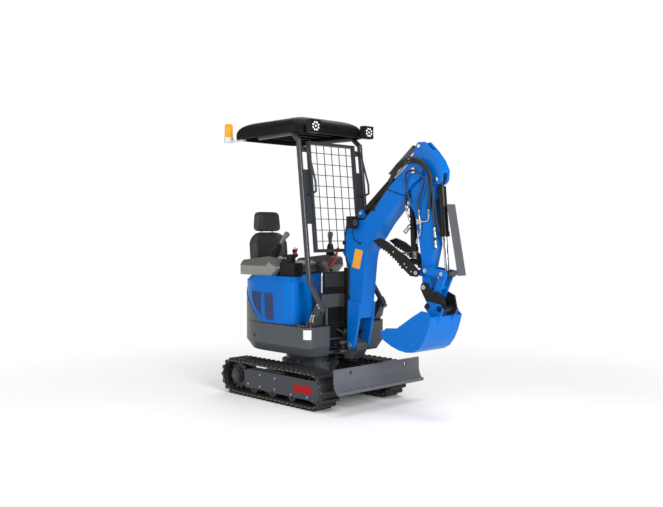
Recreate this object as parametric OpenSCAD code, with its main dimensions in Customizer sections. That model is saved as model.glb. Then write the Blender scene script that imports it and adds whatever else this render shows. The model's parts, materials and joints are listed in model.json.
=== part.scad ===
// Compact rubber-tracked digger with a canopy, a swing boom, a thumb and a dozer blade.
// Sizes in millimetres, +X forward, +Y left, +Z up, the ground at Z = 0.

/* [Tracks] */
// Width over both tracks
overall_w = 930; // [880:10:1000]
// Length of one track over its lugs
track_l = 1230; // [1160:10:1300]
// Height of one track over its lugs
track_h = 294; // [280:2:310]
// Width of one track
track_w = 180; // [160:5:200]
// Thickness of the rubber belt
belt_t = 14; // [12:1:18]
// Height of the ground lugs
lug_h = 17; // [12:1:22]
// Ground lugs on each straight run
lugs_straight = 16; // [12:1:20]
// Ground lugs round each end
lugs_round = 7; // [5:1:9]
// Bottom rollers in each side frame
roller_count = 3; // [2:1:4]
// Teeth on each drive sprocket
sprocket_teeth = 12; // [10:1:16]

/* [Dozer blade] */
// Width of the blade
blade_w = 930; // [880:10:1000]
// Front face of the blade's upright top strip
blade_x = 735; // [715:5:745]
// Height of the blade's top edge
blade_top = 336; // [310:2:345]
// Height of the blade's cutting lip
blade_lip = 155; // [140:5:170]
// Thickness of the blade plate
blade_t = 14; // [10:1:18]
// Radius of the two holes in the blade
blade_hole_r = 13; // [8:1:18]

/* [House] */
// Half width of the turning house
house_hw = 430; // [410:5:440]
// Height of the underside of the house skirt
skirt_z0 = 380; // [370:2:390]
// Height of the top of the house skirt
skirt_z1 = 605; // [590:5:620]
// Front face of the house skirt
skirt_front = 415; // [395:5:425]
// Centre of the round tail
tail_x = -170; // [-190:5:-150]
// Height of the flat top of the engine hood
hood_top = 975; // [960:5:990]
// Height of the bevel round the top of the hood
hood_bevel = 42; // [30:2:50]
// Wall thickness of the hood
hood_t = 12; // [8:1:18]

/* [Canopy] */
// Half distance between the two canopy posts
post_y = 335; // [315:5:345]
// Radius of the canopy post tube
post_r = 21; // [17:1:24]
// Front edge of the roof
roof_front = 260; // [230:5:280]
// Length of the roof
roof_l = 860; // [800:10:900]
// Half width of the roof
roof_hw = 375; // [370:1:390]
// Height of the roof's lower rim at its front
roof_z = 2085; // [2060:5:2110]
// Height of the roof over its rim
roof_h = 148; // [120:4:160]
// Cells across the window guard
guard_cols = 6; // [4:1:8]
// Cells up the window guard
guard_rows = 10; // [8:1:12]

/* [Boom] */
// Half width of the boom box
boom_hw = 70; // [64:1:76]
// Radius of the boom's round nose
nose_r = 72; // [66:1:78]
// Radius of the main pivot pins
pin_r = 18; // [15:1:20]

/* [Arm and bucket] */
// Half width of the arm box
arm_hw = 45; // [40:1:48]
// Half width of the bucket
bucket_hw = 174; // [150:2:190]
// Thickness of the bucket plates
bucket_t = 10; // [8:1:14]
// Teeth on the bucket lip
tooth_count = 4; // [3:1:5]
// Half spacing of the two thumb tines
thumb_y = 92; // [90:1:100]

/* [Hidden] */
$fn = 48;
gap = 0.3;
run = 5;
// Beacon and the tip of the bucket cylinder's guard, the ends of the part
beacon = [-690, -325];
beacon_r = 40;
guard_top = [1410, 1513];
guard_tip = [1506, 1024];
// Row frame: the origin lies under the middle of the part
row_x = (guard_tip[0] + beacon[0] - beacon_r) / 2;
// Track loop
track_zc = track_h / 2;
wheel_x = track_l / 2 - track_zc;
belt_r = track_zc - lug_h;
loop_r = belt_r - belt_t;
y_out = overall_w / 2;
y_in = y_out - track_w;
y_mid = y_out - track_w / 2;
plate_in = y_in + 22;
plate_out = y_out - 18;
roller_r = 40;
roller_z = track_zc - loop_r + gap + roller_r;
// Slew ring
ring_z = 340;
ring_r = 215;
// Working gear pins as [x, z]
O = [520, 458];
KP = 440;
BB = [412, 548];
BE = [415, 1165];
Q = [1135, 1755];
AK = [585, 1462];
AE = [1160, 1928];
P = [1223, 933];
R = [1234, 1050];
C = R + [144, -18];
D = [1311, 886];
BK = [1321, 1687];
T = [1180, 1034];
TK = [1062, 1530];
TE = [1085, 1110];
// Dozer pins
DP = [350, 190];
DK = [300, 300];
DE = [690, 262];
// Swing cylinder pins as [x, y]
SK = [20, -125];
SE = [460, -113];
swing_z = 445;
// Eyes and ears
eye_hw = 18;
ear_in = 24;
ear_out = 40;
boom_dir = 44;

// Plain helpers

// Flat profile in X and Z, from y0 to y1
module xz(points, y0, y1) {
  translate([0, y1, 0]) rotate([90, 0, 0]) linear_extrude(y1 - y0) polygon(points);
}

// The same profile on both sides of the middle plane
module xz_pair(points, y0, y1) {
  xz(points, y0, y1);
  xz(points, -y1, -y0);
}

// Round bar across the machine
module ybar(p, r, y0, y1) {
  translate([p[0], y1, p[1]]) rotate([90, 0, 0]) cylinder(h = y1 - y0, r = r);
}

// The same round bar on both sides of the middle plane
module ybar_pair(p, r, y0, y1) {
  ybar(p, r, y0, y1);
  ybar(p, r, -y1, -y0);
}

// Round bar along the machine
module xbar(x0, x1, y, z, r) {
  translate([x0, y, z]) rotate([0, 90, 0]) cylinder(h = x1 - x0, r = r);
}

// Straight tube between two points
module rod3(a, b, r) {
  d = b - a;
  translate(a) rotate([0, acos(d[2] / norm(d)), atan2(d[1], d[0])]) cylinder(h = norm(d), r = r);
}

// Tube along a list of points, with round elbows
module tube3(points, r) {
  for (i = [0:len(points) - 2]) rod3(points[i], points[i + 1], r);
  for (i = [1:len(points) - 2]) translate(points[i]) sphere(r = r + 0.8);
}

// Plate shaped as a link between two pins, its ends round
module link_xz(a, b, r, y0, y1) {
  ybar(a, r, y0, y1);
  ybar(b, r, y0, y1);
  d = b - a;
  n = [-d[1], d[0]] / norm(d) * r;
  xz([a + n, a - n, b - n, b + n], y0, y1);
}

// Lies along the line from pin a to pin b, its length along local Z
module along(a, b) {
  translate([a[0], 0, a[1]]) rotate([0, atan2(b[0] - a[0], b[1] - a[1]), 0]) children();
}

function arc(c, r, a0, a1, n) =
  [for (i = [0:n]) let (t = a0 + (a1 - a0) * i / n) [c[0] + r * cos(t), c[1] + r * sin(t)]];

function unit(v) = v / norm(v);

// Points of an open line moved sideways by d, to its left
function beside(pts, d) = [for (i = [0:len(pts) - 1])
  let (p = pts[max(i - 1, 0)], q = pts[min(i + 1, len(pts) - 1)], u = unit(q - p))
  pts[i] + d * [-u[1], u[0]]];

function back(v) = [for (i = [len(v) - 1:-1:0]) v[i]];

// Hydraulic barrel along local Z, its base eye at the origin
module barrel(len, r, rod_r, eye_r, pin) {
  neck = eye_r + 24;
  difference() {
    union() {
      ybar([0, 0], eye_r, -eye_hw, eye_hw);
      translate([0, 0, eye_r * 0.8]) cylinder(h = neck, r = eye_hw);
      translate([0, 0, neck]) cylinder(h = len - neck, r = r);
      translate([0, 0, len - 34]) cylinder(h = 34, r = r + 4);
    }
    ybar([0, 0], pin + gap, -eye_hw - 1, eye_hw + 1);
    translate([0, 0, neck + 8]) cylinder(h = len, r = rod_r + gap);
  }
}

// Rod along local Z, its eye at the given length
module piston_rod(len, rod_len, r, eye_r, pin) {
  difference() {
    union() {
      ybar([0, len], eye_r, -eye_hw, eye_hw);
      translate([0, 0, len - rod_len]) cylinder(h = rod_len - eye_r * 0.6, r = r);
    }
    ybar([0, len], pin, -eye_hw - 1, eye_hw + 1);
  }
}

// Undercarriage

module stadium(r, y0, y1) {
  for (s = [-1, 1]) ybar([s * wheel_x, track_zc], r, y0, y1);
  translate([-wheel_x, y0, track_zc - r]) cube([2 * wheel_x, y1 - y0, 2 * r]);
}

// One ground lug, standing up from the belt at the origin
module lug() {
  translate([0, 0, -2]) xz([[-17, 0], [17, 0], [11, lug_h + 2], [-11, lug_h + 2]],
    -track_w / 2, track_w / 2);
}

module track(s) {
  step = 2 * wheel_x / lugs_straight;
  color("#1c1c1d") translate([0, s * y_mid, 0]) {
    difference() {
      stadium(belt_r, -track_w / 2, track_w / 2);
      stadium(loop_r, -track_w, track_w);
    }
    for (i = [0:lugs_straight - 1]) translate([-wheel_x + (i + 0.5) * step, 0, track_zc]) {
      translate([0, 0, belt_r]) lug();
      rotate([0, 180, 0]) translate([0, 0, belt_r]) lug();
    }
    for (e = [-1, 1], i = [0:lugs_round - 1])
      translate([e * wheel_x, 0, track_zc]) rotate([0, e * (i + 0.5) * 180 / lugs_round, 0])
        translate([0, 0, belt_r]) lug();
  }
}

module track_wheels(s) {
  rim = loop_r - gap;
  color("#3b3d40") translate([0, s * y_mid, 0]) {
    // Drive sprocket at the back
    difference() {
      union() {
        translate([-wheel_x, 18, track_zc]) rotate([90, 0, 0]) linear_extrude(36)
          polygon([for (i = [0:sprocket_teeth - 1], k = [0:3]) let (
            t = 360 * (i + [0.16, 0.36, 0.64, 0.84][k]) / sprocket_teeth,
            r = (k == 1 || k == 2) ? rim : rim - 20) [r * cos(t), r * sin(t)]]);
        ybar([-wheel_x, track_zc], 62, -40, 40);
      }
      ybar([-wheel_x, track_zc], 30 + gap, -60, 60);
    }
    // Idler at the front
    difference() {
      union() {
        ybar([wheel_x, track_zc], rim, -20, 20);
        ybar([wheel_x, track_zc], 36, -34, 34);
      }
      for (y = [-1, 1]) difference() {
        ybar([wheel_x, track_zc], rim - 16, y * 14 - 8, y * 14 + 8);
        ybar([wheel_x, track_zc], 36, -40, 40);
      }
      ybar([wheel_x, track_zc], 16 + gap, -60, 60);
    }
    // Bottom rollers
    for (i = [0:roller_count - 1]) {
      x = -230 + 460 * i / (roller_count - 1);
      difference() {
        union() {
          ybar([x, roller_z], roller_r, -52, -20);
          ybar([x, roller_z], roller_r, 20, 52);
          ybar([x, roller_z], roller_r - 12, -52, 52);
        }
        ybar([x, roller_z], 12 + gap, -60, 60);
      }
    }
  }
}

module track_frame(s) {
  cover = concat([[-305, 76], [wheel_x - 30, 76]],
    arc([wheel_x, track_zc], loop_r - 12, -52, 52, 12), [[wheel_x - 30, 226], [-270, 226]],
    [[-305, 200]]);
  inner = concat([[-wheel_x, 84], [330, 84]], [[wheel_x, 108], [wheel_x + 30, 124]],
    [[wheel_x + 30, 172], [wheel_x, 188]], [[330, 212], [-wheel_x, 212]]);
  color("#45484d") scale([1, s, 1]) {
    xz(cover, plate_out, plate_out + 9);
    difference() {
      union() {
        xz(inner, plate_in, plate_in + 12);
        ybar([-wheel_x, track_zc], 80, y_in - 26, plate_in + 12);
      }
      translate([-wheel_x - 100, plate_in - 60, 60]) cube([20, 100, 30]);
    }
    // Beam over the rollers
    translate([-330, plate_in + 12, 130]) cube([650, plate_out - plate_in - 12, 82]);
    // Axles
    ybar([wheel_x, track_zc], 16, plate_in + 12, plate_out);
    ybar([-wheel_x, track_zc], 30, plate_in + 12, y_mid + 46);
    ybar([-wheel_x, track_zc], 50, y_mid + 42, y_mid + 58);
    for (i = [0:roller_count - 1])
      ybar([-230 + 460 * i / (roller_count - 1), roller_z], 12, plate_in + 6, plate_out + 4);
  }
}

module lower_frame() {
  color("#45484d") {
    difference() {
      union() {
        translate([0, 0, 140]) cylinder(h = 140, r = 235);
        translate([0, 0, 272]) cylinder(h = 22, r = 250);
        translate([0, 0, 290]) cylinder(h = ring_z - 290, r = ring_r);
        for (x = [-190, 190]) translate([x - 60, -plate_in, 135]) cube([120, 2 * plate_in, 75]);
        // Ears of the dozer arms
        for (y = [-1, 1]) {
          xz([[170, 150], [350, 158], [378, 175], [378, 205], [350, 222], [200, 262]],
            y * 185 - 10, y * 185 + 10);
          translate([150, y * 185 - 14, 150]) cube([90, 28, 90]);
        }
        // Ears of the dozer cylinder
        xz_pair([[190, 240], [280, 240], [326, 288], [326, 312], [300, 328], [270, 322], [200, 288]],
          ear_in, ear_out);
      }
      translate([0, 0, 130]) cylinder(h = 90, r = 120);
    }
    ybar_pair(DP, 16, 150, 200);
    ybar(DK, 14, -ear_out - 6, ear_out + 6);
  }
}

module dozer_blade() {
  bend = blade_top - 74;
  rb = 139.5;
  color("#4a4d52") {
    difference() {
      union() {
        translate([blade_x - blade_t, -blade_w / 2, bend]) cube([blade_t, blade_w, blade_top - bend]);
        intersection() {
          difference() {
            ybar([blade_x + rb, bend], rb + blade_t, -blade_w / 2, blade_w / 2);
            ybar([blade_x + rb, bend], rb, -blade_w, blade_w);
          }
          translate([blade_x - 60, -blade_w / 2, blade_lip]) cube([130, blade_w, bend - blade_lip + 1]);
        }
        // Cutting edge
        translate([blade_x + 32, -blade_w / 2, blade_lip]) cube([16, blade_w, 24]);
        // Back rail
        translate([blade_x - blade_t - 34, -blade_w / 2 + 40, bend - 78]) cube([42, blade_w - 80, 42]);
      }
      for (y = [-300, 300]) xbar(blade_x - 100, blade_x + 100, y, blade_top - 36, blade_hole_r);
    }
    // Push arms
    difference() {
      union() {
        for (y = [-1, 1]) {
          xz([[DP[0] - 26, 165], [DP[0], 156], [520, 150], [blade_x - 6, 190], [blade_x - 6, 262], [560, 222],
            [DP[0], 224], [DP[0] - 26, 214]], y * 157 - 16, y * 157 + 16);
        }
        translate([560, -173, 178]) cube([50, 346, 36]);
      }
      ybar_pair(DP, 16 + gap, 130, 200);
    }
    // Ears of the dozer cylinder
    xz_pair([[blade_x - 30, 205], [670, 236], [664, 262], [674, 282], [692, 290], [blade_x - 10, 276]],
      ear_in, ear_out);
    ybar_pair(DE, 14, ear_in, ear_out + 6);
  }
}

blade_len = norm(DE - DK);
module blade_barrel() {
  color("#1d1e20") along(DK, DE) barrel(blade_len - 80, 28, 15, 24, 14);
}
module blade_rod() {
  color("#c9ccd0") along(DK, DE) piston_rod(blade_len, 250, 15, 24, 14);
}

// House

function tail(r) = arc([tail_x, 0], r, 90, 270, 24);

module plan(r, front, corner) {
  h = min(r, house_hw);
  polygon(concat(tail(r), arc([front - corner, -h + corner], corner, -90, 0, 8),
    arc([front - corner, h - corner], corner, 0, 90, 8)));
}

module house_frame() {
  color("#4b4e53") {
    difference() {
      union() {
        translate([0, 0, skirt_z0 + 70]) linear_extrude(skirt_z1 - skirt_z0 - 70)
          plan(house_hw, skirt_front, 60);
        hull() {
          translate([0, 0, skirt_z0]) linear_extrude(1) plan(house_hw - 50, skirt_front - 20, 60);
          translate([0, 0, skirt_z0 + 70]) linear_extrude(1) plan(house_hw, skirt_front, 60);
        }
      }
      // Recess at the front for the swing bracket
      translate([350, -205, skirt_z0 - 1]) cube([200, 410, skirt_z1 - skirt_z0 + 2]);
      translate([270, -205, swing_z - 42]) cube([200, 410, 84]);
      // Pocket of the swing cylinder
      translate([SK[0] - 40, -190, swing_z - 42]) cube([400, 130, 84]);
    }
    translate([0, 0, ring_z + gap]) cylinder(h = skirt_z0 - ring_z + 2, r = ring_r);
    // Nose with the boss of the swing pin
    difference() {
      union() {
        translate([KP, 0, 398]) cylinder(h = 70, r = 55);
        translate([260, -44, 404]) cube([KP - 260, 88, 58]);
      }
      translate([KP, 0, 390]) cylinder(h = 160, r = 24 + gap);
    }
    // Base pin of the swing cylinder
    translate([SK[0], SK[1], swing_z - 50]) cylinder(h = 100, r = 13);
  }
}

module hood_plan(d) {
  r = house_hw - 5 - d;
  polygon(concat(tail(r),
    arc([200 - d - 90, -r + 90], 90, -90, 0, 8), [[200 - d, -195 - d], [-80 - d, -195 - d]],
    [[-80 - d, r]]));
}

module engine_hood() {
  z0 = skirt_z1 + 7;
  grille = [[-270, 700], [-262, 655], [-235, 642], [-165, 640], [-146, 652], [-143, 700],
    [-150, 810], [-170, 846], [-215, 830], [-255, 775]];
  color("#2c62a8") difference() {
    union() {
      translate([0, 0, z0]) linear_extrude(hood_top - hood_bevel - z0) hood_plan(0);
      hull() {
        translate([0, 0, hood_top - hood_bevel - 1]) linear_extrude(1) hood_plan_wide(0);
        translate([0, 0, hood_top - 1]) linear_extrude(1) hood_plan_wide(hood_bevel);
      }
      hull() {
        translate([0, 0, hood_top - hood_bevel - 1]) linear_extrude(1) hood_plan_side(0);
        translate([0, 0, hood_top - 1]) linear_extrude(1) hood_plan_side(hood_bevel);
      }
    }
    translate([0, 0, z0 - 1]) linear_extrude(hood_top - hood_bevel - z0 - 10) hood_plan(hood_t);
    xz(grille, -house_hw - 5, -house_hw + 40);
    translate([-105, -house_hw - 5, 640]) cube([134, 45, 206]);
  }
}

// Convex parts of the hood's plan, for the bevelled top
module hood_plan_wide(d) {
  r = house_hw - 5 - d;
  polygon(concat(tail(r), [[-80 - d, -r], [-80 - d, r]]));
}
module hood_plan_side(d) {
  r = house_hw - 5 - d;
  polygon(concat([[-120, -r]], arc([200 - d - 90, -r + 90], 90, -90, 0, 8),
    [[200 - d, -195 - d / 2], [-120, -195 - d / 2]]));
}

module hood_grilles() {
  y0 = -house_hw + 5;
  color("#27406e") {
    xz([[-270, 700], [-262, 655], [-235, 642], [-165, 640], [-146, 652], [-143, 700], [-150, 810],
      [-170, 846], [-215, 830], [-255, 775]], y0 + 3, y0 + 10);
    translate([-105, y0 + 3, 640]) cube([134, 7, 206]);
  }
}

module engine_block() {
  color("#5a5c60") translate([-430, -200, skirt_z1]) cube([300, 400, 270]);
}

module floor_deck() {
  color("#3a3c3f") difference() {
    translate([0, 0, skirt_z1]) linear_extrude(7) plan(house_hw, skirt_front, 60);
    translate([350, -205, skirt_z1 - 1]) cube([200, 410, 20]);
    translate([-430, -200, skirt_z1 - 1]) cube([300, 400, 20]);
  }
}

module knee_panel() {
  color("#1f2022") translate([330, -225, 803]) cube([18, 450, 212]);
}

module toe_panel() {
  color("#6b6d70") translate([332, -225, skirt_z1 + 7]) cube([14, 450, 803 - skirt_z1 - 7]);
}

module seat() {
  color("#3c3e42") {
    translate([-540, -205, hood_top]) cube([430, 410, 95]);
    xz([[-600, 1010], [-520, 1010], [-545, 1322], [-605, 1322]], -205, 205);
  }
}

module headrest() {
  color("#3c3e42") xz([[-612, 1322], [-552, 1322], [-560, 1500], [-612, 1500]], -140, 140);
}

module console(s) {
  color("#a5a39c") scale([1, s, 1])
    xz([[-477, hood_top], [-90, hood_top], [-18, 1040], [-30, 1108], [-110, 1130], [-440, 1095], [-477, 1060]],
      236, 370);
}

module joysticks() {
  color("#55575b") for (s = [-1, 1]) translate([-120, s * 315, 0]) {
    translate([0, 0, 1130 + gap]) cylinder(h = 30, r1 = 42, r2 = 22);
    translate([0, 0, 1150]) cylinder(h = 80, r = 9);
    translate([0, 0, 1220]) cylinder(h = 100, r = 22);
  }
}

module lock_levers() {
  color("#c4262b") for (s = [-1, 1])
    xz([[-60, 1040], [-36, 1030], [30, 1090], [70, 1190], [58, 1196], [14, 1102], [-56, 1060]],
      s * 228.7 - 7, s * 228.7 + 7);
}

// Canopy

post_top = [205, roof_z - 20];
post_bend = [325, 940];
post_foot = [490, 725];
module canopy_posts() {
  color("#2a2b2d") for (s = [-1, 1]) {
    tube3([[-320, s * 290, roof_z + 6], [post_top[0] - 75, s * (post_y - 8), roof_z + 6],
      [post_top[0], s * post_y, post_top[1] - 40], [post_bend[0], s * post_y, post_bend[1]],
      [post_foot[0], s * post_y, post_foot[1]]], post_r);
    // Boot on the deck
    hull() {
      translate([330, s * post_y - 40, skirt_z1 + 7]) cube([70, 80, 14]);
      rod3([440, s * post_y, 790], [470, s * post_y, 750], post_r + 7);
    }
  }
}

// Frame of the window guard, lying in its own plane with local Z up along it
module in_guard() {
  translate([300, 0, 1165]) rotate([0, -atan2(88, 855), 0]) children();
}

module window_guard() {
  w = 243;
  h = 860;
  color("#232426") in_guard() {
    for (s = [-1, 1]) translate([-14, s * w - 12, 0]) cube([28, 24, h]);
    for (z = [0, h - 24]) translate([-14, -w, z]) cube([28, 2 * w, 24]);
    for (i = [1:guard_cols - 1])
      translate([-2.5, -w + 2 * w * i / guard_cols - 2.5, 10]) cube([5, 5, h - 20]);
    for (i = [1:guard_rows - 1])
      translate([1.5, -w, h * i / guard_rows - 2.5]) cube([5, 2 * w, 5]);
    // Gussets to the posts
    for (s = [-1, 1]) {
      translate([-4, s > 0 ? w : -post_y + post_r + gap, 220]) cube([8, post_y - w - post_r - gap, 420]);
      translate([-4, s > 0 ? w : -post_y + post_r + gap, 775]) cube([8, post_y - w - post_r - gap, 45]);
    }
  }
}

module grab_handles() {
  color("#232426") for (s = [-1, 1])
    tube3([[223.2, s * 290, 1963], [258, s * 290, 1963], [347, s * 290, 1705], [353, s * 290, 1632],
      [300, s * 290, 1610], [259.4, s * 290, 1610]], 8);
}

module roof_plan(d) {
  c = 120 - d * 0.4;
  x0 = roof_front - roof_l + d;
  x1 = roof_front - d;
  h = roof_hw - d;
  polygon(concat(arc([x1 - c, h - c], c, 0, 90, 8), arc([x0 + c, h - c], c, 90, 180, 8),
    arc([x0 + c, -h + c], c, 180, 270, 8), arc([x1 - c, -h + c], c, 270, 360, 8)));
}

module canopy_roof() {
  color("#1b1c1e") {
    difference() {
      union() {
        translate([0, 0, roof_z]) linear_extrude(roof_h * 0.5) roof_plan(0);
        hull() {
          translate([0, 0, roof_z + roof_h * 0.5 - 1]) linear_extrude(1) roof_plan(0);
          translate([0, 0, roof_z + roof_h * 0.8]) linear_extrude(1) roof_plan(36);
          translate([0, 0, roof_z + roof_h - 1]) linear_extrude(1) roof_plan(120);
        }
      }
      translate([0, 0, roof_z - 1]) linear_extrude(roof_h * 0.5) roof_plan(15);
    }
    // Ribs and the rail seats
    for (i = [0:4]) translate([roof_front - 150 - i * 140, -roof_hw + 10, roof_z + 6 + post_r + gap])
      cube([12, 2 * roof_hw - 20, roof_h * 0.5 - 6 - post_r]);
  }
}

// Where the roof's round corner meets the lamp's bracket
lamp_x = roof_front - 120 + sqrt(120 * 120 - pow(278 - roof_hw + 120, 2)) + gap;
module roof_lamps() {
  color("#202123") for (s = [-1, 1]) {
    translate([300, s * 292 - 50, 2073]) cube([52, 100, 100]);
    translate([lamp_x, s * 292 - 14, roof_z + 22]) cube([302 - lamp_x, 28, 10]);
  }
}

lens_z = roof_z + 33;
module beacon_base() {
  plate_z = roof_z - 8 - gap;
  color("#d8d8d4") {
    translate([beacon[0], beacon[1], plate_z]) cylinder(h = lens_z - plate_z, r = beacon_r);
    translate([beacon[0], beacon[1] - 20, plate_z]) cube([roof_front - roof_l - beacon[0] + 120, 40, 8]);
  }
}

module beacon_lens() {
  color("#e08a1c") translate([beacon[0], beacon[1], lens_z]) {
    cylinder(h = 90, r = 36);
    translate([0, 0, 90]) scale([1, 1, 0.8]) intersection() {
      sphere(r = 36);
      cylinder(h = 40, r = 40);
    }
  }
}

// Swing bracket and boom

module swing_bracket() {
  color("#4b4e53") {
    difference() {
      union() {
        translate([KP, 0, 346]) cylinder(h = 46, r = 58);
        translate([KP, 0, 474]) cylinder(h = 28, r = 58);
        xz([[KP, 346], [510, 346], [556, 420], [556, 470], [530, 488], [486, 488], [474, 502], [KP, 502]],
          -58, 58);
        // Lug of the swing cylinder
        for (z = [swing_z - 42, swing_z + 24]) translate([0, 0, z]) linear_extrude(18)
          polygon([[500, -10], [500, -56], [SE[0] + 19, -66], [SE[0] + 19, -126], [SE[0] + 12, -138],
            [SE[0] - 12, -138], [SE[0] - 24, -126], [SE[0] - 28, -100]]);
      }
      translate([KP, 0, 392]) cylinder(h = 82, r = 62);
      translate([KP - 200, -200, 392]) cube([200, 400, 82]);
      ybar(O, pin_r + gap, -100, 100);
    }
    translate([KP, 0, 386]) cylinder(h = 94, r = 24);
    // Ears of the boom cylinder
    xz_pair([[BB[0] - 28, 496], [BB[0] - 28, BB[1] + 8], [BB[0] - 14, BB[1] + 26], [BB[0] + 14, BB[1] + 26],
      [BB[0] + 28, BB[1] + 4], [BB[0] + 32, 496]], ear_in, ear_out);
    ybar(BB, 14, -ear_out - 4, ear_out + 4);
    for (z = [swing_z - 42, swing_z + 24]) translate([SE[0], SE[1], z]) cylinder(h = 18, r = 13);
  }
}

module along_xy(a, b, z) {
  translate([a[0], a[1], z]) rotate([0, 0, atan2(b[1] - a[1], b[0] - a[0])]) rotate([90, 0, 0])
    rotate([0, 90, 0]) children();
}

swing_len = norm(SE - SK);
module swing_barrel() {
  color("#1d1e20") along_xy(SK, SE, swing_z) barrel(290, 30, 16, 24, 13);
}
module swing_rod() {
  color("#c9ccd0") along_xy(SK, SE, swing_z) piston_rod(swing_len, 274, 16, 24, 13);
}

boom_back = [[490, 600], [492, 886], [497, 1062], [470, 1100], [450, 1150], [448, 1264], [473, 1388]];
boom_top = [[500, 1410], [646, 1412], [779, 1521], [900, 1651], [1006, 1740], [1085, 1811]];
boom_under = [[1182, 1699], [1100, 1648], [1007, 1553], [840, 1390], [718, 1243], [670, 1174], [655, 1112],
  [629, 885], [610, 740], [585, 600]];

module boom() {
  color("#2c62a8") {
    difference() {
      union() {
        xz(concat(boom_back, boom_top, [Q], boom_under), -boom_hw, boom_hw);
        ybar(Q, nose_r, -boom_hw, boom_hw);
      }
      // Fork of the nose
      translate([Q[0], 0, Q[1]]) rotate([0, -boom_dir, 0]) translate([-172, -arm_hw - run - 5, -200])
        cube([400, 2 * (arm_hw + run + 5), 400]);
      // Fork of the foot
      xz([[400, 300], [700, 300], [700, 600], [560, 690], [400, 600]], -63, 63);
      // Pocket of the boom cylinder's eye
      translate([BE[0] - 20, -ear_in + 1, BE[1] - 110]) cube([87, 2 * ear_in - 2, 147]);
    }
    // Forked foot
    for (s = [-1, 1]) scale([1, s, 1]) {
      xz([[484, 458], [492, 800], [618, 790], [600, 640], [557, 458]], 64, 88);
      ybar(O, 34, 64, 92);
    }
    ybar(O, pin_r, -96, 96);
    ybar(Q, pin_r, -boom_hw - 12, boom_hw + 12);
    // Lug of the boom cylinder
    xz_pair([[500, 1080], [BE[0] - 6, BE[1] - 30], [BE[0] - 28, BE[1]], [BE[0] - 6, BE[1] + 30], [500, 1260]],
      ear_in, ear_out);
    ybar_pair(BE, 14, ear_in, ear_out + 6);
    // Ears of the arm cylinder
    xz_pair([[530, 1400], [AK[0] - 32, AK[1]], [AK[0] - 18, AK[1] + 28], [AK[0] + 14, AK[1] + 30],
      [AK[0] + 34, AK[1]], [665, 1400]], ear_in, ear_out);
    ybar(AK, 14, -ear_out - 6, ear_out + 6);
  }
}

module boom_lamp() {
  color("#202123") {
    translate([530, -boom_hw - 74, 1348]) cube([60, 66, 92]);
    translate([540, -boom_hw - 10, 1380]) cube([40, 10, 30]);
  }
}

boom_len = norm(BE - BB);
module boom_barrel() {
  color("#1d1e20") along(BB, BE) barrel(boom_len - 120, 34, 18, 28, 14);
}
module boom_rod() {
  color("#c9ccd0") along(BB, BE) piston_rod(boom_len, 420, 18, 26, 14);
}

// Arm and its cylinders

arm_front = [[1196, 1957], [1265, 1892], [1327, 1818], [1362, 1747], [1356, 1680], [1330, 1652],
  [1268, 1649], [1268, 1544], [1284, 1405], [1300, 1231], [1262, 1080], [P[0] + 34, P[1]]];
arm_back = [[P[0] - 34, P[1]], [1190, 1019], [1182, 1124], [1159, 1265], [1126, 1421], [1093, 1549],
  [1074, 1621], [1068, 1692], [1070, 1763], [1096, 1850], [1122, 1920]];

module arm() {
  color("#2c62a8") {
    difference() {
      union() {
        xz(concat(arm_front, arm_back), -arm_hw, arm_hw);
        ybar(AE, 30, -arm_hw, arm_hw);
        ybar(P, 34, -arm_hw, arm_hw);
        link_xz(R, P, 28, -arm_hw, arm_hw);
        // Lug of the thumb's pivot
        link_xz(T, [1220, 1060], 26, -arm_hw, arm_hw);
      }
      ybar(Q, pin_r + gap, -100, 100);
      // Slots of the two cylinder eyes
      translate([AE[0] - 100, -ear_in + 2, AE[1] - 82]) cube([200, 2 * ear_in - 4, 150]);
      translate([BK[0] - 42, -ear_in + 2, BK[1] - 80]) cube([100, 2 * ear_in - 4, 122]);
    }
    ybar_pair(AE, 14, ear_in - 2, arm_hw + 6);
    ybar(BK, 14, -arm_hw - 6, arm_hw + 6);
    ybar(P, 16, -72, 72);
    ybar(R, 14, -72, 72);
    ybar(T, 14, -thumb_y - 14, thumb_y + 14);
    // Ears of the thumb cylinder
    xz_pair([[TK[0] - 24, TK[1]], [TK[0] - 12, TK[1] + 24], [TK[0] + 20, TK[1] + 40], [1100, 1560],
      [1130, 1440], [TK[0] + 14, TK[1] - 24]], ear_in, ear_out);
    ybar(TK, 12, -ear_out - 4, ear_out + 4);
  }
}

arm_len = norm(AE - AK);
module arm_barrel() {
  color("#1d1e20") along(AK, AE) barrel(395, 32, 17, 26, 14);
}
module arm_rod() {
  color("#c9ccd0") along(AK, AE) piston_rod(arm_len, 386, 17, 26, 14);
}

// Guard over the arm cylinder's rod, carried by the rod's eye
module arm_guard() {
  color("#3e4145") along(AK, AE) {
    difference() {
      translate([-56, -30, arm_len - 350]) cube([8, 60, 300]);
      translate([-60, -18, arm_len - 340]) cube([30, 36, 30]);
    }
    translate([-52, -eye_hw, arm_len - 68]) cube([52 - 17 - gap, 2 * eye_hw, 18]);
  }
}

bucket_len = norm(C - BK);
module bucket_barrel() {
  color("#1d1e20") along(BK, C) barrel(400, 30, 16, 26, 14);
}
module bucket_rod() {
  color("#c9ccd0") along(BK, C) piston_rod(bucket_len, 370, 16, 24, 13);
}

// Guard in front of the bucket cylinder, carried by the rod's eye
module bucket_guard() {
  u = unit(guard_tip - guard_top);
  n = 8 * [-u[1], u[0]];
  color("#5b5e62") {
    xz([guard_top, guard_tip, guard_tip - n, guard_top - n], -42, 42);
    xz([C + [24 + gap, -9], C + [24 + gap, 9], guard_tip + [-16, 44], guard_tip + [-8, 4]], -eye_hw, eye_hw);
  }
}

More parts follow.
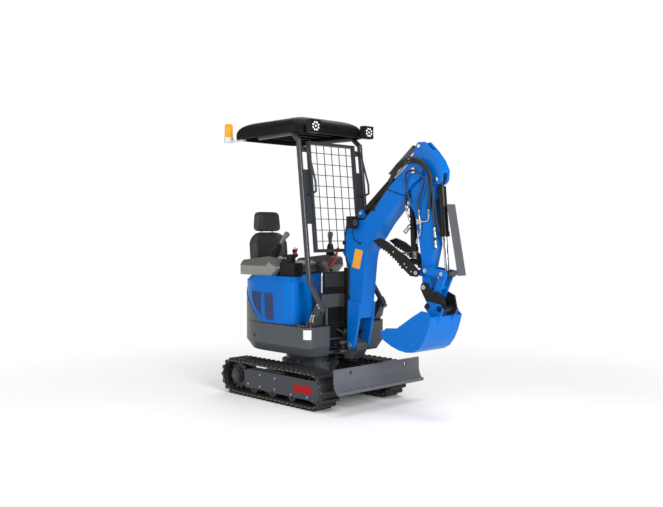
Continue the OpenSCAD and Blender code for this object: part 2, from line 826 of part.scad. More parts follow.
module rocker_links() {
  color("#2c62a8") {
    difference() {
      for (s = [-1, 1]) link_xz(R, C, 26, s * 61 - 7, s * 61 + 7);
      ybar(R, 14 + gap, -80, 80);
    }
    ybar_pair(C, 13, ear_in, 72);
  }
}

module bucket_link() {
  color("#2c62a8") {
    difference() {
      for (s = [-1, 1]) link_xz(C, D, 25, s * 38 - 9, s * 38 + 9);
      ybar(C, 13 + gap, -80, 80);
    }
    m = (C + 2 * D) / 3;
    ybar(m, 16, -30, 30);
  }
}

module quick_coupler() {
  side = [[1199, 957], [1225, 967], [1251, 957], [1290, 906], [1330, 908], [1396, 880], [1416, 790],
    [1400, 752], [1359, 745], [1283, 775], [1215, 880], [1190, 925]];
  color("#1d1e20") {
    difference() {
      for (s = [-1, 1]) xz(side, s * 60 - 7, s * 60 + 7);
      ybar(P, 16 + gap, -80, 80);
      ybar(D, 14, -80, 80);
    }
    ybar_pair(D, 14, 53, 74);
    ybar([1272, 806], 20, -90, 90);
    ybar([1376, 792], 20, -90, 90);
    translate([1300, -60, 770]) cube([80, 120, 20]);
  }
}

bucket_wrap = [[906, 590], [935, 545], [1010, 508], [1080, 486], [1150, 476], [1215, 482], [1267, 511],
  [1310, 566], [1340, 630], [1360, 690], [1372, 739]];

module bucket() {
  inner = beside(bucket_wrap, bucket_t);
  side = concat(bucket_wrap, [[1340, 770], [1290, 778], [1204, 729], [1066, 640], [964, 632]]);
  color("#2c62a8") {
    xz(concat(bucket_wrap, back(inner)), -bucket_hw, bucket_hw);
    for (s = [-1, 1]) xz(side, s * (bucket_hw - bucket_t / 2) - bucket_t / 2,
      s * (bucket_hw - bucket_t / 2) + bucket_t / 2);
    // Ears to the coupler
    difference() {
      for (s = [-1, 1]) xz([[1240, 800], [1272, 838], [1376, 822], [1410, 784], [1380, 735], [1362, 690],
        [1330, 640], [1290, 740]], s * 79 - 8, s * 79 + 8);
      ybar([1272, 806], 20 + gap, -100, 100);
      ybar([1376, 792], 20 + gap, -100, 100);
    }
    translate([1330, -bucket_hw, 728]) cube([42, 2 * bucket_hw, bucket_t]);
    // Teeth
    for (i = [0:tooth_count - 1])
      xz([[906, 600], [898, 612], [918, 606], [960, 566], [940, 540], [914, 560]],
        -bucket_hw + 6 + i * (2 * bucket_hw - 44) / (tooth_count - 1),
        -bucket_hw + 38 + i * (2 * bucket_hw - 44) / (tooth_count - 1));
  }
}

module thumb() {
  tine = [[1200, 1022], [1204, 1046], [1180, 1062], [1080, 1150], [994, 1196], [907, 1249], [828, 1277],
    [760, 1258], [800, 1232], [900, 1190], [1000, 1120], [1060, 1060], [1125, 1010], [1180, 1006]];
  color("#1e1f21") {
    difference() {
      for (s = [-1, 1]) xz(tine, s * thumb_y - 9, s * thumb_y + 9);
      ybar(T, 14 + gap, -200, 200);
    }
    // Cross bars
    ybar([1040, 1108], 18, -thumb_y, thumb_y);
    xz_pair([[1036, 1092], [TE[0] + 4, TE[1] - 22], [TE[0] + 22, TE[1]], [TE[0] + 4, TE[1] + 22], [1036, 1126]],
      ear_in, ear_out);
    ybar_pair(TE, 12, ear_in, ear_out + 4);
  }
}

thumb_len = norm(TE - TK);
module thumb_barrel() {
  color("#1d1e20") along(TK, TE) barrel(350, 25, 14, 22, 12);
}
module thumb_rod() {
  color("#c9ccd0") along(TK, TE) piston_rod(thumb_len, 270, 14, 22, 12);
}

// Moves the machine so that the row's origin lies under its middle
module row() {
  translate([-row_x, 0, 0]) children();
}

row() lower_frame();
row() track_frame(-1);  // track_frame_right
row() track_frame(1);  // track_frame_left
row() track(-1);  // track_right
row() track(1);  // track_left
row() track_wheels(-1);  // track_wheels_right
row() track_wheels(1);  // track_wheels_left
row() dozer_blade();
row() blade_barrel();
row() blade_rod();
row() house_frame();
row() engine_hood();
row() hood_grilles();
row() engine_block();
row() floor_deck();
row() knee_panel();
row() toe_panel();
row() seat();
row() headrest();
row() console(-1);  // console_right
row() console(1);  // console_left
row() joysticks();
row() lock_levers();
row() canopy_posts();
row() window_guard();
row() canopy_roof();
row() roof_lamps();
row() beacon_base();
row() beacon_lens();
row() grab_handles();
row() swing_bracket();
row() swing_barrel();
row() swing_rod();
row() boom();
row() boom_lamp();
row() boom_barrel();
row() boom_rod();
row() arm();
row() arm_barrel();
row() arm_rod();
row() arm_guard();
row() thumb();
row() thumb_barrel();
row() thumb_rod();
row() rocker_links();
row() bucket_link();
row() bucket_barrel();
row() bucket_rod();
row() bucket_guard();
row() quick_coupler();
row() bucket();
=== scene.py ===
"""Finishes and small fittings of a compact rubber-tracked digger, set on its fixed frame.

Places are given in millimetres in the machine's own frame: +X forward, +Y left, +Z up, with the
slew centre on the ground at the origin. Finished meshes are in metres in the shared frame.
"""

from __future__ import annotations

import json
import logging
import math
from dataclasses import dataclass, field
from enum import Enum

import bmesh
import bpy
import numpy as np
from mathutils import Vector
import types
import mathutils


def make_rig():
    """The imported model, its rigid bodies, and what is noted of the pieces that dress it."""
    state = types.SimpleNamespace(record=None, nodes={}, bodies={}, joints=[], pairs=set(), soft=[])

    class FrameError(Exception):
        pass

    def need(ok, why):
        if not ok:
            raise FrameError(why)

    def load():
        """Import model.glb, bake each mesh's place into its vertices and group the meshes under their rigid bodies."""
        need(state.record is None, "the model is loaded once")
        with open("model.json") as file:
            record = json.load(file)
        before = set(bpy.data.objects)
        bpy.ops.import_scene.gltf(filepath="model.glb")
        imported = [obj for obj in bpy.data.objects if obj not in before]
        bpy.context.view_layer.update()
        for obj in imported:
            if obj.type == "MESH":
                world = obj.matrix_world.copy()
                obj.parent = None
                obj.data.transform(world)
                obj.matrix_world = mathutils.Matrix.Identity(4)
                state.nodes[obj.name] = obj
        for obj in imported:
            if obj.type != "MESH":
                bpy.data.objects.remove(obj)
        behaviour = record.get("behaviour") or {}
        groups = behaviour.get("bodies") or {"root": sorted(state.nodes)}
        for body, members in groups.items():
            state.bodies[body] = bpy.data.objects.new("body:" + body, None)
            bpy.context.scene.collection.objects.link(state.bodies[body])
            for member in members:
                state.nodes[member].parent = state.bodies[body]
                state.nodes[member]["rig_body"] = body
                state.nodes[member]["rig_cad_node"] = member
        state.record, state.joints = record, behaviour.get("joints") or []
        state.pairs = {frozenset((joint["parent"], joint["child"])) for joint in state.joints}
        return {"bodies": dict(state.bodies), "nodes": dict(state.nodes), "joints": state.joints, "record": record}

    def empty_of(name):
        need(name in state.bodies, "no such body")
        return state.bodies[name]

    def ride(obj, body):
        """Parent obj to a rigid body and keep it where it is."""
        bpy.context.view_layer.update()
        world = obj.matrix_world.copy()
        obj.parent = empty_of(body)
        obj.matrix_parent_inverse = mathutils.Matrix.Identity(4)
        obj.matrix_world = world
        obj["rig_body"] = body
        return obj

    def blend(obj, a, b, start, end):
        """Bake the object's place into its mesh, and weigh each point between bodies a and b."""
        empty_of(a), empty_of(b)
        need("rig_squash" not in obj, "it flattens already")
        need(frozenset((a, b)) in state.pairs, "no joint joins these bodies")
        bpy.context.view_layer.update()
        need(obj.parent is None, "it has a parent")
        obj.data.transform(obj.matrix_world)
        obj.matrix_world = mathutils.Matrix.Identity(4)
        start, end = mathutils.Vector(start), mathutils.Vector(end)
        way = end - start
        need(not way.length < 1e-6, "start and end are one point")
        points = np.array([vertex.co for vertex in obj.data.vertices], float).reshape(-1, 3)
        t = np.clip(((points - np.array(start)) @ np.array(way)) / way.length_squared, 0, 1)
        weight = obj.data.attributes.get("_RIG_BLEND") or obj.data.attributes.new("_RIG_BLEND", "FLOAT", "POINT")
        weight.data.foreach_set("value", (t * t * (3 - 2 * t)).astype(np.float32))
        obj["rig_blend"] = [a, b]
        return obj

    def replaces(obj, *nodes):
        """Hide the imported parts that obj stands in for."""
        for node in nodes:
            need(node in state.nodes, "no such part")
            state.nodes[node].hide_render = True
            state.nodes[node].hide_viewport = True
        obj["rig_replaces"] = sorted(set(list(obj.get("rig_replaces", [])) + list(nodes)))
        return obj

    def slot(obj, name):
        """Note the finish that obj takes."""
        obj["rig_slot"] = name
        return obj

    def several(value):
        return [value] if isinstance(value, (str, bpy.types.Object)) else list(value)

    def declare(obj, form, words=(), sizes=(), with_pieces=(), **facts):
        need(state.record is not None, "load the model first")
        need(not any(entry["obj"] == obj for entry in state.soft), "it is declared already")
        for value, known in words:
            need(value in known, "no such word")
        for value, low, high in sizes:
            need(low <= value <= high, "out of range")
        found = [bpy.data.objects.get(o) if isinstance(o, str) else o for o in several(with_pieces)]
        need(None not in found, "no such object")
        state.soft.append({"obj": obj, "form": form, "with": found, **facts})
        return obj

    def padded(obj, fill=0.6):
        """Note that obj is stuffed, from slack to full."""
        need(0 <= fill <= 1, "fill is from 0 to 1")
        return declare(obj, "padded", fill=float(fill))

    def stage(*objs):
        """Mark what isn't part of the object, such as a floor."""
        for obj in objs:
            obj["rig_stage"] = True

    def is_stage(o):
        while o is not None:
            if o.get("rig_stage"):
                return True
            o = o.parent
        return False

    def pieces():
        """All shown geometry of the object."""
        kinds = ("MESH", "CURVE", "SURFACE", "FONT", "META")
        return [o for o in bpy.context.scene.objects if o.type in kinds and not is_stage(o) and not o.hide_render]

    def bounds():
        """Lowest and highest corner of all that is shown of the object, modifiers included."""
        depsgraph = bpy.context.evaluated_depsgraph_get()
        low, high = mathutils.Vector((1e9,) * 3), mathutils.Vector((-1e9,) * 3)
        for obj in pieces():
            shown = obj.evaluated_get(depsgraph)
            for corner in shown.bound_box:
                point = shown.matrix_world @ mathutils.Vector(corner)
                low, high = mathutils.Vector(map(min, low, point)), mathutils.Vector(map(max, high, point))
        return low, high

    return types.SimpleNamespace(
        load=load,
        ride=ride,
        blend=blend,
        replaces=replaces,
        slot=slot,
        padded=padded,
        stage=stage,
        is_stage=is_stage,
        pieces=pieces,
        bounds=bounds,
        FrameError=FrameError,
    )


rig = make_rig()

LOG = logging.getLogger("digger")
SIZE_FILE = "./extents.json"
# One millimetre in metres; a sticker's thickness and the deck's height in millimetres
MM = 0.001
FILM = 0.6
DECK_Z = 612.0
SIDES = (("right", -1.0), ("left", 1.0))
FLOAT = "NodeSocketFloat"
Array = np.ndarray
Tree = bpy.types.NodeTree
Socket = bpy.types.NodeSocket
Colour = tuple[float, float, float]


# Surfaces as arrays


@dataclass
class Shell:
    """Points of a surface and its faces, each face set an array of point numbers."""

    points: Array
    faces: list[Array]


def joined(shells: list[Shell]) -> Shell:
    """Several surfaces as one.

    Args:
        shells: the surfaces, which share no points.

    Returns:
        One surface with all their points and faces.
    """
    points, faces, start = [], [], 0
    for shell in shells:
        points.append(shell.points)
        faces += [numbers + start for numbers in shell.faces]
        start += len(shell.points)
    return Shell(np.concatenate(points), faces)


def unit(v: Array) -> Array:
    """Vectors along the last axis, each divided by its length."""
    v = np.asarray(v, float)
    return v / np.linalg.norm(v, axis=-1, keepdims=True)


def grid(points: Array, wrap_u: bool = False, wrap_v: bool = False) -> Shell:
    """Surface over a U by V grid: a quad joins each point to its next neighbours.

    Args:
        points: array of shape (U, V, 3).
        wrap_u: the last row joins the first.
        wrap_v: the last column joins the first.

    Returns:
        The surface, open where it doesn't wrap.
    """
    nu, nv = points.shape[:2]
    a, b = np.meshgrid(np.arange(nu - (not wrap_u)), np.arange(nv - (not wrap_v)), indexing="ij")
    a, b = a.ravel(), b.ravel()
    a1, b1 = (a + 1) % nu, (b + 1) % nv
    return Shell(points.reshape(-1, 3), [np.stack([a * nv + b, a1 * nv + b, a1 * nv + b1, a * nv + b1], 1)])


def capped(rings: Array) -> Shell:
    """Closed rings carried one after another, with a flat face at both ends.

    Args:
        rings: array of shape (rings, points round, 3).

    Returns:
        The closed surface.
    """
    shell = grid(rings, wrap_v=True)
    count, sides = rings.shape[:2]
    ends = np.arange(sides)
    shell.faces += [ends[None, ::-1], (ends + (count - 1) * sides)[None]]
    return shell


def curve(points: list | Array, per: int = 8) -> Array:
    """Smooth line through the given points: a cubic for each span, whose slope at a point is half
    the chord between the point's two neighbours.

    Args:
        points: the points, (n, 3).
        per: steps in each span.

    Returns:
        Points along the line.
    """
    p = np.asarray(points, float)
    slope = np.gradient(p, axis=0)
    t = np.linspace(0, 1, per, endpoint=False)[None, :, None]
    a, b, da, db = p[:-1, None], p[1:, None], slope[:-1, None], slope[1:, None]
    span = (2 * t**3 - 3 * t**2 + 1) * a + (t**3 - 2 * t**2 + t) * da
    span = span + (3 * t**2 - 2 * t**3) * b + (t**3 - t**2) * db
    return np.concatenate([span.reshape(-1, 3), p[-1:]])


def around(count: int) -> Array:
    """Angles spaced evenly round a full turn."""
    return np.linspace(0, 2 * math.pi, count, endpoint=False)


def tube(path: Array, radius: float | Array, sides: int = 12) -> Shell:
    """Circle carried along a path, each ring square to the path's direction there.

    Args:
        path: points along the middle, (n, 3).
        radius: one radius, or one for each point.
        sides: points round each ring.

    Returns:
        The closed tube.
    """
    path = np.asarray(path, float)
    along = unit(np.gradient(path, axis=0))
    least = np.eye(3)[np.argmin(np.abs(along).max(axis=0))]
    side = unit(np.cross(along, least))
    up = np.cross(along, side)
    turn = around(sides)[None, :, None]
    size = np.broadcast_to(np.asarray(radius, float), (len(path),))[:, None, None]
    return capped(path[:, None] + size * (np.cos(turn) * side[:, None] + np.sin(turn) * up[:, None]))


def hose(points: list | Array, radius: float) -> Shell:
    """Tube along a smooth line through the given points."""
    return tube(curve(points), radius)


def across(axis: Array) -> tuple[Array, Array]:
    """Two unit vectors square to an axis and to each other.

    Args:
        axis: any vector but nought.

    Returns:
        The two vectors, in order so that their cross product is along the axis.
    """
    axis = unit(axis)
    side = unit(np.cross(axis, np.eye(3)[np.argmin(np.abs(axis))]))
    return side, np.cross(axis, side)


def turned(profile: list | Array, base: Array, axis: Array, sides: int = 32) -> Array:
    """Profile of (radius, height) pairs turned once about an axis that starts at the base.

    Args:
        profile: pairs from one end to the other.
        base: where height is nought.
        axis: direction of height.
        sides: points round each ring.

    Returns:
        One ring for each pair, (pairs, sides, 3).
    """
    pairs = np.asarray(profile, float)
    side, up = across(axis)
    turn = around(sides)[None, :, None]
    ring = np.cos(turn) * side + np.sin(turn) * up
    return np.asarray(base, float) + pairs[:, :1, None] * ring + pairs[:, 1:, None] * unit(axis)


def revolve(profile: list | Array, base: Array, axis: Array, sides: int = 32) -> Shell:
    """Closed surface of a profile turned once about an axis, with flat ends."""
    return capped(turned(profile, base, axis, sides))


def prism(outline: list | Array, origin: Array, u: Array, v: Array, depth: float) -> Shell:
    """Flat outline in the plane of u and v, carried by a depth along their cross product.

    Args:
        outline: (u, v) pairs in order round the outline.
        origin: where both are nought.
        u: direction of the first number.
        v: direction of the second number.
        depth: how far the outline is carried.

    Returns:
        The closed solid.
    """
    pairs = np.asarray(outline, float)
    u, v = unit(u), unit(v)
    flat = np.asarray(origin, float) + pairs[:, :1] * u + pairs[:, 1:] * v
    return capped(np.stack([flat, flat + depth * np.cross(u, v)]))


def plate_xz(outline: list | Array, y0: float, y1: float) -> Shell:
    """Outline of (x, z) pairs carried from y0 to y1."""
    return prism(outline, (0, y1, 0), (1, 0, 0), (0, 0, 1), y1 - y0)


def block(low: Array, high: Array) -> Shell:
    """Box between two corners."""
    (x0, y0, z0), (x1, y1, z1) = low, high
    return plate_xz([(x0, z0), (x1, z0), (x1, z1), (x0, z1)], y0, y1)


class Head(Enum):
    """Rings of a fastener's head as (radius, height, six-sided) in shares of its own radius."""

    BOLT = ((1.5, 0, 0), (1.5, 0.22, 0), (1.0, 0.22, 1), (1.0, 0.85, 1), (0.8, 1.0, 1))
    STUD = ((1.0, 0, 0), (1.0, 0.45, 0), (0.8, 0.7, 0), (0.4, 0.85, 0))
    NIPPLE = ((1.0, 0, 1), (1.0, 0.7, 1), (0.45, 0.75, 0), (0.45, 1.2, 0), (0.6, 1.4, 0), (0.3, 1.8, 0))


def heads(kind: Head, centres: list | Array, normal: Array, radius: float) -> Shell:
    """One fastener's head at each centre, all as one array.

    A six-sided ring is a circle whose radius is divided by the cosine of the turn from the middle
    of the nearest flat.

    Args:
        kind: which head.
        centres: where the heads sit, (n, 3).
        normal: the way they stand out.
        radius: size of the head.

    Returns:
        All the heads as one surface.
    """
    centres = np.asarray(centres, float).reshape(-1, 3)
    turn = around(12)
    flat = math.cos(math.pi / 6) / np.cos(np.mod(turn, math.pi / 3) - math.pi / 6)
    rings = np.asarray(kind.value, float)
    side, up = across(normal)
    size = radius * rings[:, :1] * np.where(rings[:, 2:] > 0, flat, 1.0)
    one = size[..., None] * (np.cos(turn)[:, None] * side + np.sin(turn)[:, None] * up)
    one = one + (radius * rings[:, 1])[:, None, None] * unit(normal)
    return joined([capped(one + c) for c in centres])


def pin_cap(centre: Array, normal: Array, radius: float) -> Shell:
    """End of a pivot pin: a chamfered disc with a grease nipple in its middle.

    Args:
        centre: middle of the pin's end.
        normal: the way it stands out.
        radius: the disc's radius.

    Returns:
        The closed disc and nipple.
    """
    disc = [(1, -0.2), (1, 0.18), (0.88, 0.3), (0.42, 0.3), (0.36, 0.24), (0.3, 0.24)]
    cap = revolve(np.array(disc) * radius, centre, normal, 28)
    seat = np.asarray(centre, float) + 0.22 * radius * unit(normal)
    return joined([cap, heads(Head.NIPPLE, [seat], normal, 0.2 * radius)])


def round_pad(size: Array, power: float, rows: int = 64, columns: int = 96) -> Array:
    """Rounded box about the origin: a sphere's point p, each axis raised to a power below one.

    Args:
        size: half sizes along the three axes.
        power: 1 gives an ellipsoid, towards 0 a box.
        rows: steps from pole to pole, along the first axis.
        columns: steps round.

    Returns:
        Grid of points, (rows, columns, 3).
    """
    rise = np.linspace(-math.pi / 2, math.pi / 2, rows)[:, None]
    turn = np.linspace(-math.pi, math.pi, columns, endpoint=False)[None]
    x = np.sin(rise) * np.ones_like(turn)
    y, z = np.cos(rise) * np.cos(turn), np.cos(rise) * np.sin(turn)
    p = np.stack([x, y, z], -1)
    return np.sign(p) * np.abs(p) ** power * np.asarray(size, float)


# Finishes


def float_group(name: str, inputs: dict[str, float], outputs: dict[str, str]) -> tuple:
    """New shader node group with named number inputs.

    Args:
        name: the group's name.
        inputs: each input's name and first value.
        outputs: each output's name and socket type.

    Returns:
        The tree, its input node's outputs and its output node's inputs.
    """
    tree = bpy.data.node_groups.new(name, "ShaderNodeTree")
    for label, value in inputs.items():
        socket = tree.interface.new_socket(name=label, in_out="INPUT", socket_type=FLOAT)
        socket.default_value = value
    for label, kind in outputs.items():
        tree.interface.new_socket(name=label, in_out="OUTPUT", socket_type=kind)
    return tree, tree.nodes.new("NodeGroupInput").outputs, tree.nodes.new("NodeGroupOutput").inputs


def feed(tree: Tree, sockets: object, values: dict[int | str, object]) -> None:
    """Links or sets a node's inputs.

    Args:
        tree: where the node is.
        sockets: the node's inputs.
        values: a socket to link, or a number or colour to set, by the input's name or place.
    """
    for label, value in values.items():
        if isinstance(value, Socket):
            tree.links.new(value, sockets[label])
        else:
            sockets[label].default_value = value


def node(tree: Tree, kind: str, inputs: dict[int | str, object] | None = None,
         **values: object) -> bpy.types.Node:
    """New shader node with its attributes and inputs set.

    Args:
        tree: where the node goes.
        kind: the node's type name without its Shader Node prefix.
        inputs: what its inputs are linked or set to.
        values: attributes of the node.

    Returns:
        The node.
    """
    made = tree.nodes.new("ShaderNode" + kind)
    for label, value in values.items():
        setattr(made, label, value)
    feed(tree, made.inputs, inputs or {})
    return made


def math_node(tree: Tree, operation: str, a: object, b: object = 0.0) -> Socket:
    """Result of one Math node on two numbers or sockets."""
    return node(tree, "Math", {0: a, 1: b}, operation=operation).outputs[0]


def noise_on(tree: Tree, place: Socket, scale: object, detail: float) -> Socket:
    """Noise from nought to one at a place, of a given scale and detail."""
    return node(tree, "TexNoise", {"Vector": place, "Scale": scale, "Detail": detail}).outputs["Fac"]


def grain_group() -> Tree:
    """Fine noise and broad noise on Object coordinates, for bump, gloss and tint.

    Returns:
        The group.
    """
    tree, given, result = float_group("grain", {"Scale": 400.0}, {"Fine": FLOAT, "Broad": FLOAT})
    place = node(tree, "TexCoord").outputs["Object"]
    for label, share, detail in (("Fine", 1.0, 3.0), ("Broad", 0.015, 5.0)):
        scale = math_node(tree, "MULTIPLY", given["Scale"], share)
        feed(tree, result, {label: noise_on(tree, place, scale, detail)})
    return tree


def edge_group() -> Tree:
    """Rounded normal over sharp edges, and a broken mask along those edges: wear on most finishes, a painted highlight
    on the blue paint.

    Returns:
        The group.
    """
    outputs = {"Mask": FLOAT, "Normal": "NodeSocketVector"}
    tree, given, result = float_group("edge_wear_and_highlight", {"Radius": 0.002, "Amount": 0.5}, outputs)
    rounded = node(tree, "Bevel", {"Radius": given["Radius"]}, samples=4).outputs["Normal"]
    plain = node(tree, "NewGeometry").outputs["Normal"]
    dot = node(tree, "VectorMath", {0: rounded, 1: plain}, operation="DOT_PRODUCT")
    away = math_node(tree, "SUBTRACT", 1.0, dot.outputs["Value"])
    noise = noise_on(tree, node(tree, "TexCoord").outputs["Object"], 38.0, 6.0)
    broken = math_node(tree, "SUBTRACT", math_node(tree, "MULTIPLY", noise, 2.6), 1.0)
    mask = math_node(tree, "MULTIPLY", math_node(tree, "MULTIPLY", away, 5.0), broken)
    mask = math_node(tree, "MULTIPLY", mask, given["Amount"])
    held = node(tree, "Clamp", {"Value": mask}).outputs[0]
    feed(tree, result, {"Mask": held, "Normal": rounded})
    return tree


def dust_group() -> Tree:
    """Mask of thin dust: where a surface looks up and where it lies near the ground.

    Returns:
        The group.
    """
    tree, given, result = float_group("dust_film", {"Amount": 0.15, "Reach": 0.45}, {"Mask": FLOAT})
    normal, place = node(tree, "NewGeometry").outputs["Normal"], node(tree, "TexCoord").outputs["Object"]
    rise, high = (node(tree, "SeparateXYZ", {0: v}).outputs["Z"] for v in (normal, place))
    up = math_node(tree, "MAXIMUM", rise, 0.0)
    low = math_node(tree, "SUBTRACT", 1.0, math_node(tree, "DIVIDE", high, given["Reach"]))
    up, low = math_node(tree, "MULTIPLY", up, 0.5), math_node(tree, "MAXIMUM", low, 0.0)
    settled = math_node(tree, "ADD", up, low)
    mask = math_node(tree, "MULTIPLY", settled, noise_on(tree, place, 9.0, 7.0))
    mask = math_node(tree, "MULTIPLY", mask, given["Amount"])
    feed(tree, result, {"Mask": node(tree, "Clamp", {"Value": mask}).outputs[0]})
    return tree


@dataclass(frozen=True)
class Split:
    """Second colour above a line in X and Z that is level but for one peak, in machine millimetres."""

    colour: Colour
    level: float
    peak_x: float
    rise: float
    run_back: float
    run_front: float


class Texture(Enum):
    """What gives a finish its fine relief."""

    GRAIN = "grain"
    LEATHER = "leather"
    BRAID = "braid"
    BRUSHED = "brushed"


@dataclass(frozen=True)
class Finish:
    """One surface finish: its colour, gloss, fine relief, edge wear (on the blue paint a painted edge highlight) and
    dust.
    """

    slot: str
    colour: Colour
    roughness: float
    metallic: float = 0.0
    coat: float = 0.0
    specular: float = 0.5
    scale: float = 420.0
    relief: float = 0.00015
    strength: float = 0.25
    tint: float = 0.12
    gloss_shift: float = 0.07
    rounding: float = 0.002
    wear_and_highlight: float = 0.0
    wear_and_highlight_colour: Colour = (0.35, 0.35, 0.36)
    dust: float = 0.06
    texture: Texture = Texture.GRAIN
    upper: Split | None = None
    transmission: float = 0.0
    glow: float = 0.0


FINISHES = {
    # The blue's edge colour is a lighter blue of the same paint: a painted highlight along sharp edges, not wear.
    "blue_paint": Finish("blue_paint", (0.0, 0.14, 0.54), 0.34, coat=0.05, specular=0.12, wear_and_highlight=0.10,
                         wear_and_highlight_colour=(0.03, 0.22, 0.66), dust=0.0),
    "dark_blue": Finish("dark_blue", (0.018, 0.05, 0.16), 0.5),
    "frame_grey": Finish("frame_grey", (0.06, 0.068, 0.08), 0.42, coat=0.12, specular=0.35, wear_and_highlight=0.22,
                         dust=0.05),
    # A darker copy of the frame grey for the side frames, which face away from the key lamp: painted shade; a lighter
    # copy for the blade, which faces that lamp: painted light.
    "painted_shade_side_grey": Finish("frame_grey", (0.036, 0.042, 0.052), 0.42, coat=0.1, specular=0.3, wear_and_highlight=0.2,
                        dust=0.03),
    "painted_light_blade_grey": Finish("frame_grey", (0.098, 0.106, 0.12), 0.4, coat=0.1, specular=0.35, wear_and_highlight=0.22,
                         dust=0.05),
    "canopy_grey": Finish("black_paint", (0.034, 0.038, 0.045), 0.36, coat=0.12, specular=0.35, wear_and_highlight=0.12,
                          dust=0.02),
    "black_paint": Finish("black_paint", (0.008, 0.008, 0.009), 0.4, coat=0.05, specular=0.2, wear_and_highlight=0.14,
                          dust=0.0),
    "black_plastic": Finish("black_plastic", (0.009, 0.009, 0.01), 0.5, specular=0.2, scale=900,
                            strength=0.35, dust=0.0),
    "roof_plastic": Finish("black_plastic", (0.005, 0.005, 0.0055), 0.5, specular=0.14, scale=700,
                           strength=0.3, dust=0.0),
    "rubber": Finish("rubber", (0.011, 0.011, 0.011), 0.62, scale=260, strength=0.5, relief=0.0003,
                     tint=0.3, dust=0.03),
    "steel": Finish("steel", (0.05, 0.051, 0.054), 0.5, metallic=0.35, scale=220, strength=0.45, wear_and_highlight=0.3,
                    dust=0.15),
    "cast": Finish("cast", (0.09, 0.09, 0.092), 0.65, metallic=0.2, scale=240, strength=0.6),
    "chrome": Finish("chrome", (0.78, 0.79, 0.81), 0.12, metallic=1.0, texture=Texture.BRUSHED, dust=0.0,
                     gloss_shift=0.05),
    "zinc": Finish("steel", (0.55, 0.54, 0.5), 0.3, metallic=1.0, wear_and_highlight=0.1, dust=0.0),
    "light_grey": Finish("light_grey", (0.068, 0.072, 0.077), 0.45, specular=0.35, wear_and_highlight=0.1, dust=0.02),
    "guard_grey": Finish("frame_grey", (0.085, 0.092, 0.10), 0.45, wear_and_highlight=0.2),
    "console": Finish("console", (0.255, 0.245, 0.222), 0.52, scale=850, strength=0.4,
                      upper=Split((0.085, 0.083, 0.079), 1050.0, -118.0, 33.0, 39.0, 76.0)),
    "grip_grey": Finish("console", (0.165, 0.16, 0.153), 0.5, scale=850, strength=0.4),
    "red_paint": Finish("red_paint", (0.56, 0.015, 0.02), 0.35, coat=0.2, wear_and_highlight=0.08),
    "red_film": Finish("red_paint", (0.44, 0.003, 0.005), 0.45, specular=0.12, dust=0.0),
    "orange_film": Finish("red_paint", (0.83, 0.36, 0.02), 0.38, dust=0.02),
    "white_film": Finish("white_plastic", (0.82, 0.82, 0.80), 0.38, dust=0.02),
    "white_plastic": Finish("white_plastic", (0.75, 0.75, 0.72), 0.35, scale=800),
    "seat_cover": Finish("seat_cover", (0.029, 0.03, 0.032), 0.5, scale=620, strength=0.55, relief=0.0004,
                         texture=Texture.LEATHER, tint=0.2, dust=0.02),
    "hose": Finish("rubber", (0.013, 0.013, 0.014), 0.5, scale=900, strength=0.4, texture=Texture.BRAID,
                   dust=0.02),
    "amber": Finish("amber", (0.85, 0.36, 0.015), 0.16, transmission=0.45, dust=0.0, glow=0.25),
    "dim_lens": Finish("black_plastic", (0.12, 0.125, 0.135), 0.22, coat=0.5, dust=0.0),
    "panel_grey": Finish("black_plastic", (0.022, 0.022, 0.023), 0.55, scale=900, strength=0.4),
    "led": Finish("white_plastic", (0.85, 0.86, 0.85), 0.2, glow=0.3, dust=0.0),
}
NODE_FINISH = {
    # The side frames take the darker copy of the frame grey (painted shade), the blade the lighter copy (painted
    # light).
    "track_frame_right": "painted_shade_side_grey",
    "track_frame_left": "painted_shade_side_grey",
    "dozer_blade": "painted_light_blade_grey",
    "canopy_posts": "canopy_grey",
    "window_guard": "canopy_grey",
    "grab_handles": "canopy_grey",
    "canopy_roof": "roof_plastic",
    "bucket_guard": "guard_grey",
    "arm_guard": "guard_grey",
}


